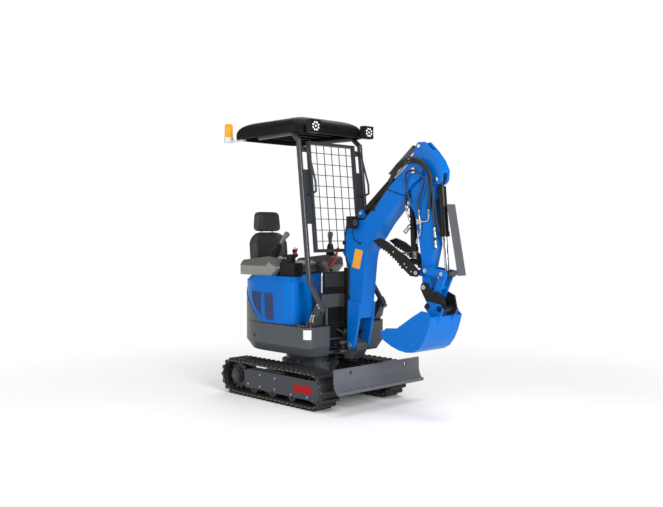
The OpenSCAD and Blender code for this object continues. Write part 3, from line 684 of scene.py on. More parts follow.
class Palette:
    """Makes each finish's material once, from the shared node groups."""

    dust_colour: Colour = (0.42, 0.40, 0.36)

    def __init__(self, slew_x: float) -> None:
        """Builds the shared groups.

        Args:
            slew_x: the slew centre's X in the shared frame, in metres.
        """
        self.slew_x = slew_x
        self.groups = {"grain": grain_group(), "edge": edge_group(), "dust": dust_group()}
        self.made: dict[str, bpy.types.Material] = {}

    def material(self, name: str) -> bpy.types.Material:
        """Material of a named finish.

        Args:
            name: a key of FINISHES.

        Returns:
            The material, made on first use.
        """
        if name not in self.made:
            self.made[name] = self.build(name, FINISHES[name])
        return self.made[name]

    def placed(self, tree: Tree, group: str, **values: float) -> object:
        """Outputs of a shared group placed in a tree with its inputs set."""
        return node(tree, "Group", values, node_tree=self.groups[group]).outputs

    @staticmethod
    def relief(tree: Tree, finish: Finish, fine: Socket) -> Socket:
        """Height of the finish's fine relief.

        Args:
            tree: the material's tree.
            finish: the finish.
            fine: fine noise, which plain grain uses as it is.

        Returns:
            A socket with the height.
        """
        place = node(tree, "TexCoord").outputs["Object"]
        if finish.texture is Texture.LEATHER:
            cells = node(tree, "TexVoronoi", {"Vector": place, "Scale": finish.scale},
                         feature="DISTANCE_TO_EDGE")
            return math_node(tree, "MINIMUM", cells.outputs["Distance"], 0.25)
        if finish.texture is Texture.BRUSHED:
            stretch = node(tree, "Mapping", {"Vector": place, "Scale": (1.0, 6.0, 1.0)}).outputs[0]
            return node(tree, "TexNoise", {"Vector": stretch, "Scale": finish.scale}).outputs["Fac"]
        if finish.texture is Texture.BRAID:
            cells = node(tree, "TexVoronoi", {"Vector": place, "Scale": finish.scale * 0.6}, feature="F1")
            return cells.outputs["Distance"]
        return fine

    def build(self, name: str, finish: Finish) -> bpy.types.Material:
        """New material for a finish.

        Args:
            name: the material's name.
            finish: what it looks like.

        Returns:
            The material.
        """
        made = bpy.data.materials.new(name)
        made.use_nodes = True
        tree = made.node_tree
        shader = tree.nodes["Principled BSDF"].inputs
        grain = self.placed(tree, "grain", Scale=finish.scale)
        edge = self.placed(tree, "edge", Radius=finish.rounding, Amount=finish.wear_and_highlight)
        dust = self.placed(tree, "dust", Amount=finish.dust)
        shade = tuple(c * (1.0 - finish.tint) for c in finish.colour)
        colour = self.mixed(tree, grain["Broad"], finish.colour, shade)
        if finish.upper:
            colour = self.two_tone(tree, finish.upper, colour)
        if finish.wear_and_highlight:
            # Edge mark: real wear on most finishes; on the blue paint a lighter blue, which is a painted highlight.
            colour = self.mixed(tree, edge["Mask"], colour, finish.wear_and_highlight_colour)
        if finish.dust:
            colour = self.mixed(tree, dust["Mask"], colour, self.dust_colour)
        gloss = node(tree, "MapRange", {
            "Value": grain["Broad"], "To Max": finish.roughness + finish.gloss_shift,
            "To Min": max(finish.roughness - finish.gloss_shift, 0.02),
        })
        bump = node(tree, "Bump", {
            "Strength": finish.strength, "Distance": finish.relief, "Normal": edge["Normal"],
            "Height": self.relief(tree, finish, grain["Fine"]),
        })
        feed(tree, shader, {
            "Base Color": colour, "Roughness": gloss.outputs["Result"], "Normal": bump.outputs["Normal"],
            "Metallic": finish.metallic, "Specular IOR Level": finish.specular, "Coat Weight": finish.coat,
            "Coat Roughness": 0.12, "Transmission Weight": finish.transmission,
        })
        if finish.glow:
            feed(tree, shader, {"Emission Color": (*finish.colour, 1.0), "Emission Strength": finish.glow})
        return made

    @staticmethod
    def mixed(tree: Tree, factor: Socket, a: object, b: object) -> Socket:
        """Colour a turning to colour b as the factor rises.

        Args:
            tree: where the node goes.
            factor: socket from 0 to 1.
            a: a colour or a socket.
            b: a colour or a socket.

        Returns:
            The mixed colour's socket.
        """
        a, b = (v if isinstance(v, Socket) else (*v, 1.0) for v in (a, b))
        return node(tree, "Mix", {0: factor, 6: a, 7: b}, data_type="RGBA").outputs[2]

    def two_tone(self, tree: Tree, split: Split, colour: Socket) -> Socket:
        """The upper colour above a line, the given colour below it.

        The line is the level plus the peak's rise times the lesser of two ramps, one up from the
        back and one down to the front, held at nought or more.

        Args:
            tree: the material's tree.
            split: gives the upper colour and the line.
            colour: the lower colour.

        Returns:
            The colour's socket.
        """
        place = node(tree, "SeparateXYZ", {0: node(tree, "TexCoord").outputs["Object"]}).outputs
        past = math_node(tree, "SUBTRACT", place["X"], self.slew_x + split.peak_x * MM)
        climb = math_node(tree, "ADD", math_node(tree, "DIVIDE", past, split.run_back * MM), 1.0)
        fall = math_node(tree, "SUBTRACT", 1.0, math_node(tree, "DIVIDE", past, split.run_front * MM))
        share = math_node(tree, "MAXIMUM", math_node(tree, "MINIMUM", climb, fall), 0.0)
        line = math_node(tree, "ADD", math_node(tree, "MULTIPLY", share, split.rise * MM), split.level * MM)
        above = math_node(tree, "GREATER_THAN", place["Z"], line)
        return self.mixed(tree, above, colour, split.colour)


# Pieces on the frame


def added(name: str, data: bpy.types.ID) -> bpy.types.Object:
    """New object of a mesh, camera or lamp, in the scene.

    Args:
        name: the object's name.
        data: the mesh, camera or lamp.

    Returns:
        The object.
    """
    made = bpy.data.objects.new(name, data)
    bpy.context.scene.collection.objects.link(made)
    return made


class Site:
    """Places on the machine, and the making of finished pieces there."""

    def __init__(self, frame: dict, palette: Palette) -> None:
        """Keeps the frame's joints and the finishes.

        Args:
            palette: makes the materials.
        """
        self.joints = {j["name"]: j for j in frame["joints"]}
        self.origin = np.array([palette.slew_x, 0.0, 0.0])
        self.palette = palette
        self.count = 0

    def at(self, points: Array) -> Array:
        """Machine millimetres as shared-frame metres."""
        return np.asarray(points, float) * MM + self.origin

    def pin(self, joint: str) -> tuple[float, float]:
        """A hinge's place as machine (x, z) millimetres."""
        x, _, z = (np.array(self.joints[joint]["pos_m"]) - self.origin) / MM
        return float(x), float(z)

    def object(self, name: str, shell: Shell, finish: str, smooth: float = 35.0) -> bpy.types.Object:
        """A surface as an object: doubles merged, faces turned outwards, sharp past an angle.

        Args:
            name: the piece's name.
            shell: the surface in machine millimetres.
            finish: a key of FINISHES.
            smooth: angle in degrees past which an edge is sharp.

        Returns:
            The new object, with its place in its mesh.
        """
        mesh = bpy.data.meshes.new(name)
        faces = []
        for numbers in shell.faces:
            faces += numbers.tolist()
        mesh.from_pydata(self.at(shell.points).tolist(), [], faces)
        work = bmesh.new()
        work.from_mesh(mesh)
        bmesh.ops.remove_doubles(work, verts=work.verts, dist=1e-6)
        bmesh.ops.dissolve_degenerate(work, edges=work.edges, dist=1e-7)
        bmesh.ops.recalc_face_normals(work, faces=work.faces)
        work.to_mesh(mesh)
        work.free()
        mesh.polygons.foreach_set("use_smooth", np.ones(len(mesh.polygons), bool))
        mesh.set_sharp_from_angle(angle=math.radians(smooth))
        mesh.materials.append(self.palette.material(finish))
        made = added(name, mesh)
        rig.slot(made, FINISHES[finish].slot)
        self.count += 1
        LOG.info("piece %s: %d faces, %s", name, len(mesh.polygons), finish)
        return made

    def piece(self, name: str, body: str, shell: Shell | list[Shell], finish: str, bevel: float = 0.0,
              smooth: float = 35.0) -> bpy.types.Object:
        """A finished piece that rides on a body.

        Args:
            name: the piece's name.
            body: the body it moves with.
            shell: its surface, or several to join.
            finish: a key of FINISHES.
            bevel: width of its rounded edges in millimetres, or nought.
            smooth: angle past which an edge is sharp.

        Returns:
            The piece.
        """
        made = self.object(name, joined(shell) if isinstance(shell, list) else shell, finish, smooth)
        if bevel:
            edge = made.modifiers.new("rounded", "BEVEL")
            edge.width = bevel * MM
            edge.segments = 3
            edge.limit_method = "ANGLE"
        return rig.ride(made, body)

    def bridge(self, name: str, bodies: tuple[str, str], shell: Shell, finish: str,
               span: tuple[Array, Array]) -> bpy.types.Object:
        """A flexible piece that bends between two bodies.

        Args:
            name: the piece's name.
            bodies: the body before the span and the body after it.
            shell: its surface.
            finish: a key of FINISHES.
            span: where the bend starts and ends, in machine millimetres.

        Returns:
            The piece.
        """
        made = self.object(name, shell, finish)
        start, end = (tuple(self.at(p)) for p in span)
        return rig.blend(made, *bodies, start=start, end=end)


@dataclass
class Undercarriage:
    """Fittings of the tracks, the side frames, the slew ring and the dozer blade."""

    site: Site
    half_width: float = 465.0
    track_width: float = 180.0
    wheel_x: float = 468.0
    middle_z: float = 147.0
    belt_r: float = 123.0
    cover_y: float = 456.0
    bars: int = 54
    hub_r: float = 37.0
    hub_reach: float = 58.0
    hub_bolts: int = 8
    ring_r: float = 233.0
    ring_z: float = 294.0
    ring_bolts: int = 20
    blade_hose_y: float = 19.0
    cover_spots: tuple = ((-270, 106), (-120, 100), (60, 104), (60, 190), (-120, 196), (250, 92), (430, 96))
    arrow: list = field(default_factory=lambda: [
        (268, 192), (330, 172), (420, 172), (420, 192), (500, 148), (420, 104), (420, 124), (330, 124),
        (268, 104), (296, 148)])

    def loop(self, count: int) -> Array:
        """Points spaced evenly round the belt's middle line: two straight runs and two half circles.

        Args:
            count: how many points.

        Returns:
            (x, z) pairs.
        """
        straight, turn = 2 * self.wheel_x, math.pi * self.belt_r
        s = np.arange(count) / count * 2 * (straight + turn)
        half = np.where(s < straight + turn, 1.0, -1.0)
        s = np.mod(s, straight + turn)
        angle = np.maximum(s - straight, 0.0) / self.belt_r
        x = np.minimum(s, straight) - self.wheel_x + self.belt_r * np.sin(angle)
        z = self.belt_r * np.cos(angle)
        return np.stack([half * x, self.middle_z + half * z], 1)

    def build(self) -> None:
        """Makes the fittings on both sides, then the ring and blade fittings."""
        for side, sign in SIDES:
            self.belt_ends(side, sign)
            self.side_frame(side, sign)
        self.slew_ring()
        self.blade_hoses()

    def belt_ends(self, side: str, sign: float) -> None:
        """Ends of the steel bars moulded in the belt, in both edges.

        Args:
            side: right or left.
            sign: -1 or 1.
        """
        xz = self.loop(self.bars)
        studs = []
        for edge, way in ((self.half_width, 1.0), (self.half_width - self.track_width, -1.0)):
            centres = np.stack([xz[:, 0], np.full(len(xz), sign * edge), xz[:, 1]], 1)
            studs.append(heads(Head.STUD, centres, (0, sign * way, 0), 3.4))
        self.site.piece(f"belt_bar_ends_{side}", "undercarriage", studs, "zinc")

    def side_frame(self, side: str, sign: float) -> None:
        """Bolts and blank travel arrow of one side cover, and the drive hub's bolts.

        Args:
            side: right or left.
            sign: -1 or 1.
        """
        out, cover_y = (0.0, sign, 0.0), sign * self.cover_y
        covers = heads(Head.BOLT, [(x, cover_y, z) for x, z in self.cover_spots], out, 5.5)
        self.site.piece(f"frame_bolts_{side}", "undercarriage", covers, "zinc")
        hub_y = sign * (self.half_width - self.track_width / 2 + self.hub_reach)
        hub, turn = np.array([-self.wheel_x, hub_y, self.middle_z]), around(self.hub_bolts)
        ring = np.stack([np.cos(turn), 0 * turn, np.sin(turn)], 1)
        bolts = heads(Head.BOLT, hub + self.hub_r * ring, out, 5)
        cap = revolve([(26, -1), (26, 5), (22, 9), (8, 11), (0.0, 11)], hub, out)
        self.site.piece(f"drive_hub_{side}", "undercarriage", [bolts, cap], "steel")
        film = plate_xz(self.arrow, *sorted((cover_y, cover_y + sign * FILM)))
        self.site.piece(f"travel_arrow_{side}", "undercarriage", film, "red_film")

    def slew_ring(self) -> None:
        """Ring of bolts round the slew ring's lower flange."""
        turn = around(self.ring_bolts)
        spots = np.stack([self.ring_r * np.cos(turn), self.ring_r * np.sin(turn), 0 * turn + self.ring_z], 1)
        self.site.piece("slew_ring_bolts", "undercarriage", heads(Head.BOLT, spots, (0, 0, 1), 7), "zinc")

    def blade_hoses(self) -> None:
        """Two short hoses from the lower frame to the blade cylinder's barrel."""
        for side, sign in SIDES:
            y = sign * self.blade_hose_y
            line = [(196, y, 302), (232, y, 336), (285, y, 352), (345, y, 346), (372, y * 0.7, 326),
                    (374, y * 0.5, 316)]
            self.site.bridge(f"blade_hose_{side}", ("undercarriage", "blade_barrel"), hose(line, 6.5), "hose",
                             ((235, 0, 330), (360, 0, 330)))


@dataclass
class House:
    """Hood, skirt and front wall fittings of the turning house."""

    site: Site
    handle_z: float = 912.0
    lock_turn: float = 16.0
    plug: tuple[float, float, float] = (-225.0, 425.5, 502.0)
    corner: tuple[float, float, float] = (355.0, -370.0, 60.0)
    leaf: list = field(default_factory=lambda: [
        (-273, 851), (-137, 854), (-132, 656), (-165, 675), (-194, 698), (-225, 730), (-251, 766),
        (-266, 795), (-274, 824)])
    panel: list = field(default_factory=lambda: [
        (-104, 849), (-16, 850), (8, 837), (21, 633), (-71, 632), (-96, 662)])
    leaf_hole: list = field(default_factory=lambda: [
        (-270, 700), (-262, 655), (-235, 642), (-165, 640), (-146, 652), (-143, 700), (-150, 810),
        (-170, 846), (-215, 830), (-255, 775)])
    panel_hole: list = field(default_factory=lambda: [(-105, 640), (29, 640), (29, 846), (-105, 846)])
    bar_pitch: float = 11.0
    tail_x: float = -170.0
    tail_r: float = 425.0
    weight_r: float = 430.0
    weight_line: tuple = ((-600, 872), (-480, 872), (-432, 843), (-139, 613))

    def build(self) -> None:
        """Makes all the house's fittings."""
        fill = [self.slab(hole, -7.0, -0.4) for hole in (self.leaf_hole, self.panel_hole)]
        self.site.piece("grille_surround", "house", fill, "blue_paint")
        for name, outline in (("leaf", self.leaf), ("panel", self.panel)):
            back = self.site.piece(f"{name}_grille_back", "house", self.slab(outline, -1.0, 0.8), "dark_blue")
            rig.replaces(back, "hood_grilles")
            self.grille_bars(f"{name}_grille_bars", outline)
        self.tail_weight()
        self.hood_trim()
        self.skirt_trim()
        self.front_wall()

    def on_hood(self, x: Array, z: Array, out: float) -> Array:
        """Points on the hood's right side: Y is minus the root of the tail's radius squared less the
        square of how far X lies behind the tail's centre.

        Args:
            x: places along the machine.
            z: heights.
            out: distance outside the hood.

        Returns:
            The points, in machine millimetres.
        """
        behind = np.minimum(x - self.tail_x, 0.0)
        return np.stack(np.broadcast_arrays(x, -np.sqrt((self.tail_r + out) ** 2 - behind**2), z), -1)

    def slab(self, outline: list | Array, inner: float, outer: float, columns: int = 40) -> Shell:
        """Closed sheet on the hood: at each X it reaches from the lowest to the highest edge met there.

        Args:
            outline: (x, z) pairs round the sheet.
            inner: its inner face's distance outside the hood.
            outer: its outer face's distance.
            columns: points along X.

        Returns:
            The closed surface.
        """
        a = np.asarray(outline, float)
        x = np.linspace(a[:, 0].min(), a[:, 0].max(), columns)
        step = np.roll(a, -1, axis=0) - a
        a, step = a[step[:, 0] != 0], step[step[:, 0] != 0]
        share = (x[:, None] - a[:, 0]) / step[:, 0]
        hit = (share > -1e-6) & (share < 1 + 1e-6)
        z = a[:, 1] + share * step[:, 1]
        low, high = np.where(hit, z, np.inf).min(1), np.where(hit, z, -np.inf).max(1)
        corners = ((low, outer), (high, outer), (high, inner), (low, inner))
        return capped(np.stack([self.on_hood(x, edge, out) for edge, out in corners], 1))

    def plan(self, r: float) -> tuple[Array, Array]:
        """Plan of the tail's casing: a half circle of radius r, run forward to the casing's front ends.

        Args:
            r: the radius.

        Returns:
            X and Y of its points, from the right side round the back to the left.
        """
        turn = np.radians(np.linspace(-90, -270, 73))
        front = self.weight_line[-1][0]
        x = np.concatenate([[front], self.tail_x + r * np.cos(turn), [front]])
        return x, np.concatenate([[-r], r * np.sin(turn), [r]])

    def tail_weight(self) -> None:
        """Grey casing round the hood's lower back: the hood's plan, up to a line that climbs backwards."""
        inner, outer, lip = self.tail_r - 1, self.weight_r, 3
        top = np.interp(self.plan(outer)[0], *np.array(self.weight_line, float).T)
        low = np.full_like(top, DECK_Z)
        section = ((inner, low), (outer, low), (outer, np.maximum(top - lip, low)), (outer - lip, top),
                   (inner, top))
        rings = [np.stack([*self.plan(r), z], 1) for r, z in section]
        self.site.piece("tail_weight", "house", capped(np.stack(rings, 1)), "frame_grey")

    def grille_bars(self, name: str, outline: list) -> None:
        """Crossed bars over a grille: each line of a square pattern, cut where it meets the outline.

        Args:
            name: the piece's name.
            outline: (x, z) pairs round the opening.
        """
        a = np.asarray(outline, float)
        b = np.roll(a, -1, axis=0)
        bars = []
        for axis in (0, 1):
            other = 1 - axis
            low, high = a[:, axis].min(), a[:, axis].max()
            for level in np.arange(low + self.bar_pitch + 0.01, high - 2, self.bar_pitch):
                hit = (a[:, axis] - level) * (b[:, axis] - level) < 0
                share = (level - a[hit, axis]) / (b[hit, axis] - a[hit, axis])
                ends = np.sort(a[hit, other] + share * (b[hit, other] - a[hit, other]))
                spans = [(level - 1, level + 1), (ends[0], ends[-1])]
                (x0, x1), (z0, z1) = spans[axis], spans[other]
                bar = [(x0, z0), (x1, z0), (x1, z1), (x0, z1)]
                bars.append(self.slab(bar, 0.4, 2.0 + 0.4 * axis, 2 + 8 * axis))
        self.site.piece(name, "house", bars, "dark_blue")

    def hood_trim(self) -> None:
        """Raised rims round the grilles, the lift handle at the back and its lock."""
        for name, outline in (("leaf_grille_rim", self.leaf), ("panel_grille_rim", self.panel)):
            ring = np.asarray(outline, float)
            after = np.roll(ring, -1, axis=0)
            fine = np.concatenate([np.linspace(a, b, 9)[:-1] for a, b in zip(ring, after)])
            fine = self.on_hood(fine[:, 0], fine[:, 1], 0.5)
            self.site.piece(name, "house", tube(np.concatenate([fine, fine[:1]]), 3.2, 8), "blue_paint")
        back, z = self.tail_x - self.tail_r, self.handle_z
        grip = [(back + 4, -60, z), (back - 22, -56, z), (back - 28, 0, z), (back - 22, 56, z),
                (back + 4, 60, z)]
        turn = math.radians(self.lock_turn)
        way = np.array([-math.cos(turn), -math.sin(turn), 0.0])
        place = np.array([self.tail_x, 0, z]) + self.tail_r * way
        lock = revolve([(16, -4), (16, 3), (13, 6), (5, 6), (4, 4), (0.0, 4)], place, way)
        self.site.piece("hood_handle", "house", [hose(grip, 7), lock], "black_plastic")

    def skirt_trim(self) -> None:
        """Blank white label round the skirt's front corner, and a plug in each side of the skirt."""
        x, y, r = self.corner
        turn = np.radians(np.linspace(-84, -22, 13))[:, None]
        high = np.linspace(516, 588, 5)[None]
        reach = r + FILM
        sheet = np.stack(np.broadcast_arrays(x + reach * np.cos(turn), y + reach * np.sin(turn), high), -1)
        self.site.piece("blank_label", "house", grid(sheet), "white_film")
        x, y, z = self.plug
        for side, sign in SIDES:
            plug = heads(Head.STUD, [(x, sign * y, z)], (0, sign, 0), 9)
            self.site.piece(f"skirt_plugs_{side}", "house", plug, "black_plastic")

    def front_wall(self) -> None:
        """Knee box's front, the toe panel, both sets of louvres, the post and the bright rail."""
        slats = [plate_xz([(350, z + 10), (350, z + 14), (364, z + 3), (364, z - 1)], -196, 196)
                 for z in np.arange(507, 600, 21.0)]
        self.site.piece("front_louvres", "house", slats, "black_plastic")
        upper = [block((346.2, -222, 614), (348, 222, 738))]
        upper += [plate_xz([(348, z), (348, z + 8), (355, z + 3), (355, z - 1)], -160, 206)
                  for z in np.arange(640, 730, 17.0)]
        self.site.piece("toe_louvres", "house", upper, "black_plastic")
        knee = block((348.2, -196, 896), (353, 196, 1008))
        self.site.piece("knee_front", "house", knee, "panel_grey", bevel=4.0)
        toe = [block((346.2, -224, 740), (354, 214, 842)), block((346.2, -229, 740), (357, -206, 842))]
        self.site.piece("toe_front", "house", toe, "light_grey", bevel=1.6)
        post = np.array([(358, -186, z) for z in (DECK_Z, 650, 700, 742)])
        self.site.piece("toe_post", "house", tube(post, 11, 20), "light_grey")
        rail = [(340, -212, 852), (350, -226, 858), (351, -228, 880), (351, -228, 980), (350, -226, 1002),
                (340, -212, 1008)]
        self.site.piece("knee_rail", "house", tube(curve(rail), 7.5, 16), "chrome")
        profile = [(9, 0), (9, 8), (14, 10), (14, 20), (11, 24), (0.0, 24)]
        knob = revolve(profile, (339, -118, 1014), (0, 0, 1))
        self.site.piece("knee_knob", "house", knob, "black_plastic")


@dataclass
class Station:
    """The operator's seat, sticks, pedals and mat."""

    site: Site
    stick_x: float = -120.0
    stick_y: float = 315.0
    console_top: float = 1128.0
    lean: tuple[float, float, float] = (72.0, -72.0, 180.0)
    bellows: float = 104.0
    folds: int = 6
    knob: tuple[float, float, float] = (62.0, -289.0, 1130.0)

    def build(self) -> None:
        """Makes the soft seat, the sticks and the floor fittings."""
        self.seat()
        self.sticks()
        self.levers()
        self.floor()

    def pad(self, name: str, points: Array, nodes: tuple[str, ...]) -> None:
        """A finished cushion.

        Args:
            name: the piece's name.
            points: its grid, in machine millimetres.
            nodes: the plain solids it stands for.
        """
        made = self.site.piece(name, "house", grid(points, wrap_v=True), "seat_cover", smooth=80.0)
        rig.padded(made, fill=0.7)
        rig.replaces(made, *nodes)

    @staticmethod
    def sewn(across_: Array, seams: tuple[float, ...], depth: float, width: float) -> Array:
        """Depth of sewn channels: a bell-shaped dip at each seam.

        Args:
            across_: distance across the pad.
            seams: where the seams lie.
            depth: depth of a dip.
            width: half width of a dip.

        Returns:
            How far the surface sinks.
        """
        return sum(depth * np.exp(-(((across_ - s) / width) ** 2)) for s in seams)

    def seat(self) -> None:
        """Cushion, backrest and headrest: rounded boxes, raised along their sides and sunk at seams."""
        wide, thick, long = 196, 47, 213
        y, z, x = np.moveaxis(round_pad((wide, thick, long), 0.3), -1, 0)
        top = np.clip(z / thick, 0, 1)
        side = np.clip((np.abs(y) - 105) / 60, 0, 1)
        front = np.clip((x - 120) / 90, 0, 1)
        z = z + top * (12 * side**2 + 6 * np.cos(y / wide * 1.3) - 16 * front**2)
        z = z - top * self.sewn(np.abs(y), (112.0,), 7, 5)
        z = z - top * self.sewn(x, (-60.0, 40.0), 4, 5) * (1 - side)
        self.pad("seat_cushion", np.stack([x - 325, y, z + 1024], -1), ("seat",))
        wide, tall, thick = 186, 154, 36
        y, z, x = np.moveaxis(round_pad((wide, tall, thick), 0.32), -1, 0)
        face = np.clip(x / thick, 0, 1)
        narrow = 1 - 0.34 * np.clip((z - 52) / (tall - 52), 0, 1) ** 1.6
        side = np.clip((np.abs(y) - 84) / 60, 0, 1)
        hollow = np.clip(1 - (y / 80) ** 2, 0, 1) * np.clip(1 - ((z + 30) / 100) ** 2, 0, 1)
        x = x + face * (20 * side**2 - 10 * hollow)
        x = x - face * self.sewn(np.abs(y), (90.0,), 7, 5) - face * self.sewn(z, (85.0,), 5, 5)
        self.pad("seat_back", np.stack([x - 566 - 0.09 * z, y * narrow, z + 1166], -1), ("seat",))
        wide, tall, thick = 138, 84, 30
        y, z, x = np.moveaxis(round_pad((wide, tall, thick), 0.36), -1, 0)
        face = np.clip(x / thick, 0, 1)
        x = x + face * 8 * (1 - (y / wide) ** 2) - face * self.sewn(np.abs(y), (96.0,), 4, 4)
        taper = 0.94 - 0.06 * z / tall
        self.pad("head_cushion", np.stack([x - 584 - 0.04 * z, y * taper, z + 1412], -1), ("headrest",))
        shafts = [tube(np.array([(-585, y, 1300), (-586, y, 1345)]), 7) for y in (-60.0, 60.0)]
        self.site.piece("headrest_posts", "house", shafts, "chrome")

    def sticks(self) -> None:
        """Ribbed bellows, shafts and grips of the two sticks, leaning forward and in."""
        rubber, grips = [], []
        for sign in (-1.0, 1.0):
            base = np.array([self.stick_x, sign * self.stick_y, self.console_top])
            way = unit(np.array([self.lean[0], sign * self.lean[1], self.lean[2]]))
            h = np.linspace(0, 1, 60)
            r = 36 - 15 * h + 3.2 * np.sin(h * 2 * math.pi * self.folds)
            rubber.append(revolve(np.stack([r, self.bellows * h], 1), base, way, 28))
            rubber.append(tube(base + way * np.array([[98], [130]]), 9))
            s = np.linspace(0, 1, 26)
            width = 14 + 9 * np.clip(s / 0.75, 0, 1) ** 1.5 - 10 * np.clip((s - 0.9) / 0.1, 0, 1) ** 2
            length = 118 + s * 100
            bend = np.stack([10 * s**2, -sign * 6 * s**2, 0 * s], 1)
            grips.append(tube(base + way * length[:, None] + bend, width, 20))
            rubber.append(heads(Head.STUD, [base + way * 214 + np.array([8, -sign * 5, 0])], way, 8))
        bellows = self.site.piece("stick_bellows", "house", rubber, "black_plastic")
        handles = self.site.piece("stick_grips", "house", grips, "grip_grey")
        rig.replaces(bellows, "joysticks")
        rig.replaces(handles, "joysticks")

    def levers(self) -> None:
        """Cap, small levers and pale knob on the box beside the seat."""
        x, y, z = self.knob
        cap = revolve([(35, -14), (37, -8), (37, 4), (30, 14), (14, 18), (0.0, 18)], self.knob, (0, 0, 1))
        rods = [tube(np.array([(x + dx, y + dy, z - 40), (x + dx * 1.4 + 10, y + dy, z + top)]), 5)
                for dx, dy, top in ((14, 4, 48), (-46, -30, 6), (58, -24, 10))]
        profile = [(6, 0), (12, 6), (14, 16), (10, 26), (0.0, 30)]
        knobs = [revolve(profile, (x + dx, y + dy, z + top), (0.3, 0, 1))
                 for dx, dy, top in ((27, 4, 30), (-56, -30, -6), (88, -24, -2))]
        self.site.piece("small_levers", "house", [cap, *rods, *knobs], "black_plastic")
        box = [block((-12, -338, 975), (150, -240, 1082)),
               revolve([(34, -60), (34, 0)], self.knob, (0, 0, 1))]
        self.site.piece("control_box", "house", box, "black_plastic", bevel=6.0)
        tip = revolve([(5, 0), (8, 4), (8, 14), (5, 18), (0.0, 18)], (x + 32, y + 4, z + 58), (0.4, 0, 1), 20)
        self.site.piece("lever_tip", "house", tip, "white_plastic")

    def floor(self) -> None:
        """Ribbed mat and two foot pedals."""
        mat_z = DECK_Z + 3
        ribs = [block((-60, -186, DECK_Z), (318, 262, mat_z))]
        ribs += [block((-50, y - 3, mat_z), (308, y + 3, mat_z + 2.5)) for y in np.arange(-174, 255, 14.0)]
        self.site.piece("floor_mat", "house", ribs, "rubber")
        pedals = []
        for y in (-120.0, 120.0):
            pedals.append(plate_xz([(215, 632), (300, 668), (303, 661), (218, 625)], y - 40, y + 40))
            pedals.append(block((268, y - 8, mat_z), (284, y + 8, 656)))
        self.site.piece("foot_pedals", "house", pedals, "black_plastic", bevel=1.5)


@dataclass
class Canopy:
    """Lamps, beacon and bolts of the canopy."""

    site: Site
    lamp_y: float = 292.0
    lamp_face: float = 352.0
    lamp_z: float = 2123.0
    lamp_half: float = 44.0
    beacon: tuple[float, float] = (-690.0, -325.0)
    lens_z: float = 2118.0
    post_y: float = 335.0
    roof_mid: float = -170.0
    roof_half: tuple[float, float] = (430.0, 375.0)
    roof_z: float = 2085.0
    corner_r: float = 120.0
    corner_points: int = 13
    crown: tuple = ((0, 44), (5, 62), (18, 84), (44, 106), (90, 126), (150, 140), (220, 148))
    ribs: tuple = (110, -30, -170, -310, -450)

    def build(self) -> None:
        """Makes the lamp faces, the roof, the beacon's lens and the bolts."""
        for side, sign in SIDES:
            face = (self.lamp_face, sign * self.lamp_y, self.lamp_z)
            lamp_front(self.site, f"roof_lamp_{side}", "house", face, self.lamp_half)
        self.roof()
        self.lens()
        self.bolts()

    def roof(self) -> None:
        """Moulded roof: a round-cornered plan carried through insets and heights, from the middle of
        the underside over the rim to the middle of the crown, with the ribs below."""
        crown = curve([(d, 0, h) for d, h in self.crown], 4)[:, [0, 2]]
        under = np.array([(220, 73), (40, 73), (15, 55), (15, 2), (13, 0), (3, 0), (0, 3)], float)
        inset, high = np.concatenate([under, crown])[:, :, None].transpose(1, 0, 2)
        per = self.corner_points
        turn = np.radians(np.arange(4)[:, None] * 90 + np.linspace(0, 90, per)).ravel()
        ahead, left = np.repeat([1, -1, -1, 1], per), np.repeat([1, 1, -1, -1], per)
        round_r = self.corner_r - 0.4 * inset
        x = self.roof_mid + ahead * (self.roof_half[0] - inset - round_r) + round_r * np.cos(turn)
        y = left * (self.roof_half[1] - inset - round_r) + round_r * np.sin(turn)
        shell = capped(np.stack(np.broadcast_arrays(x, y, self.roof_z + high), -1))
        ribs = [block((at, -345, self.roof_z + 28), (at + 12, 345, self.roof_z + 74)) for at in self.ribs]
        made = self.site.piece("roof_moulding", "house", [shell, *ribs], "roof_plastic", smooth=40)
        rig.replaces(made, "canopy_roof")

    def lens(self) -> None:
        """Ribbed amber dome: a cylinder with fine rings that closes in a quarter round."""
        tall, r, rings = 90, 35.2, 15
        h = np.linspace(0, tall, 73)
        wall = np.stack([r + 0.8 * np.sin(h / tall * 2 * math.pi * rings), h], 1)
        turn = np.linspace(0, math.pi / 2, 14)
        dome = np.stack([r * np.cos(turn) ** 0.5, tall + 26 * np.sin(turn)], 1)
        shell = revolve(np.concatenate([wall, dome]), (*self.beacon, self.lens_z), (0, 0, 1), 48)
        made = self.site.piece("beacon_dome", "house", shell, "amber", smooth=60)
        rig.replaces(made, "beacon_lens")

    def bolts(self) -> None:
        """Bolts of the post boots and of the deck beside them, and a catch on each boot."""
        pieces = []
        for s in (-1.0, 1.0):
            feet = [(342, s * (self.post_y + d), 626) for d in (-30, 30)]
            sides = [(446, s * (self.post_y + 28), 776), (462, s * (self.post_y + 28), 756)]
            pieces += [heads(Head.BOLT, feet, (0, 0, 1), 7), heads(Head.BOLT, sides, (0, s, 0), 6)]
            row = ((276, 402), (306, 402), (336, 402), (364, 396), (388, 380))
            deck = [(x, s * y, DECK_Z) for x, y in row]
            pieces.append(heads(Head.BOLT, deck, (0, 0, 1), 6.5))
            catch = [(392, s * 370, 646), (392, s * 384, 650), (396, s * 385, 672), (402, s * 382, 694),
                     (404, s * 367, 698)]
            pieces += [tube(curve(np.array(catch) + (dx, 0, 0)), 5) for dx in (0, 24)]
        self.site.piece("post_bolts", "house", pieces, "zinc")


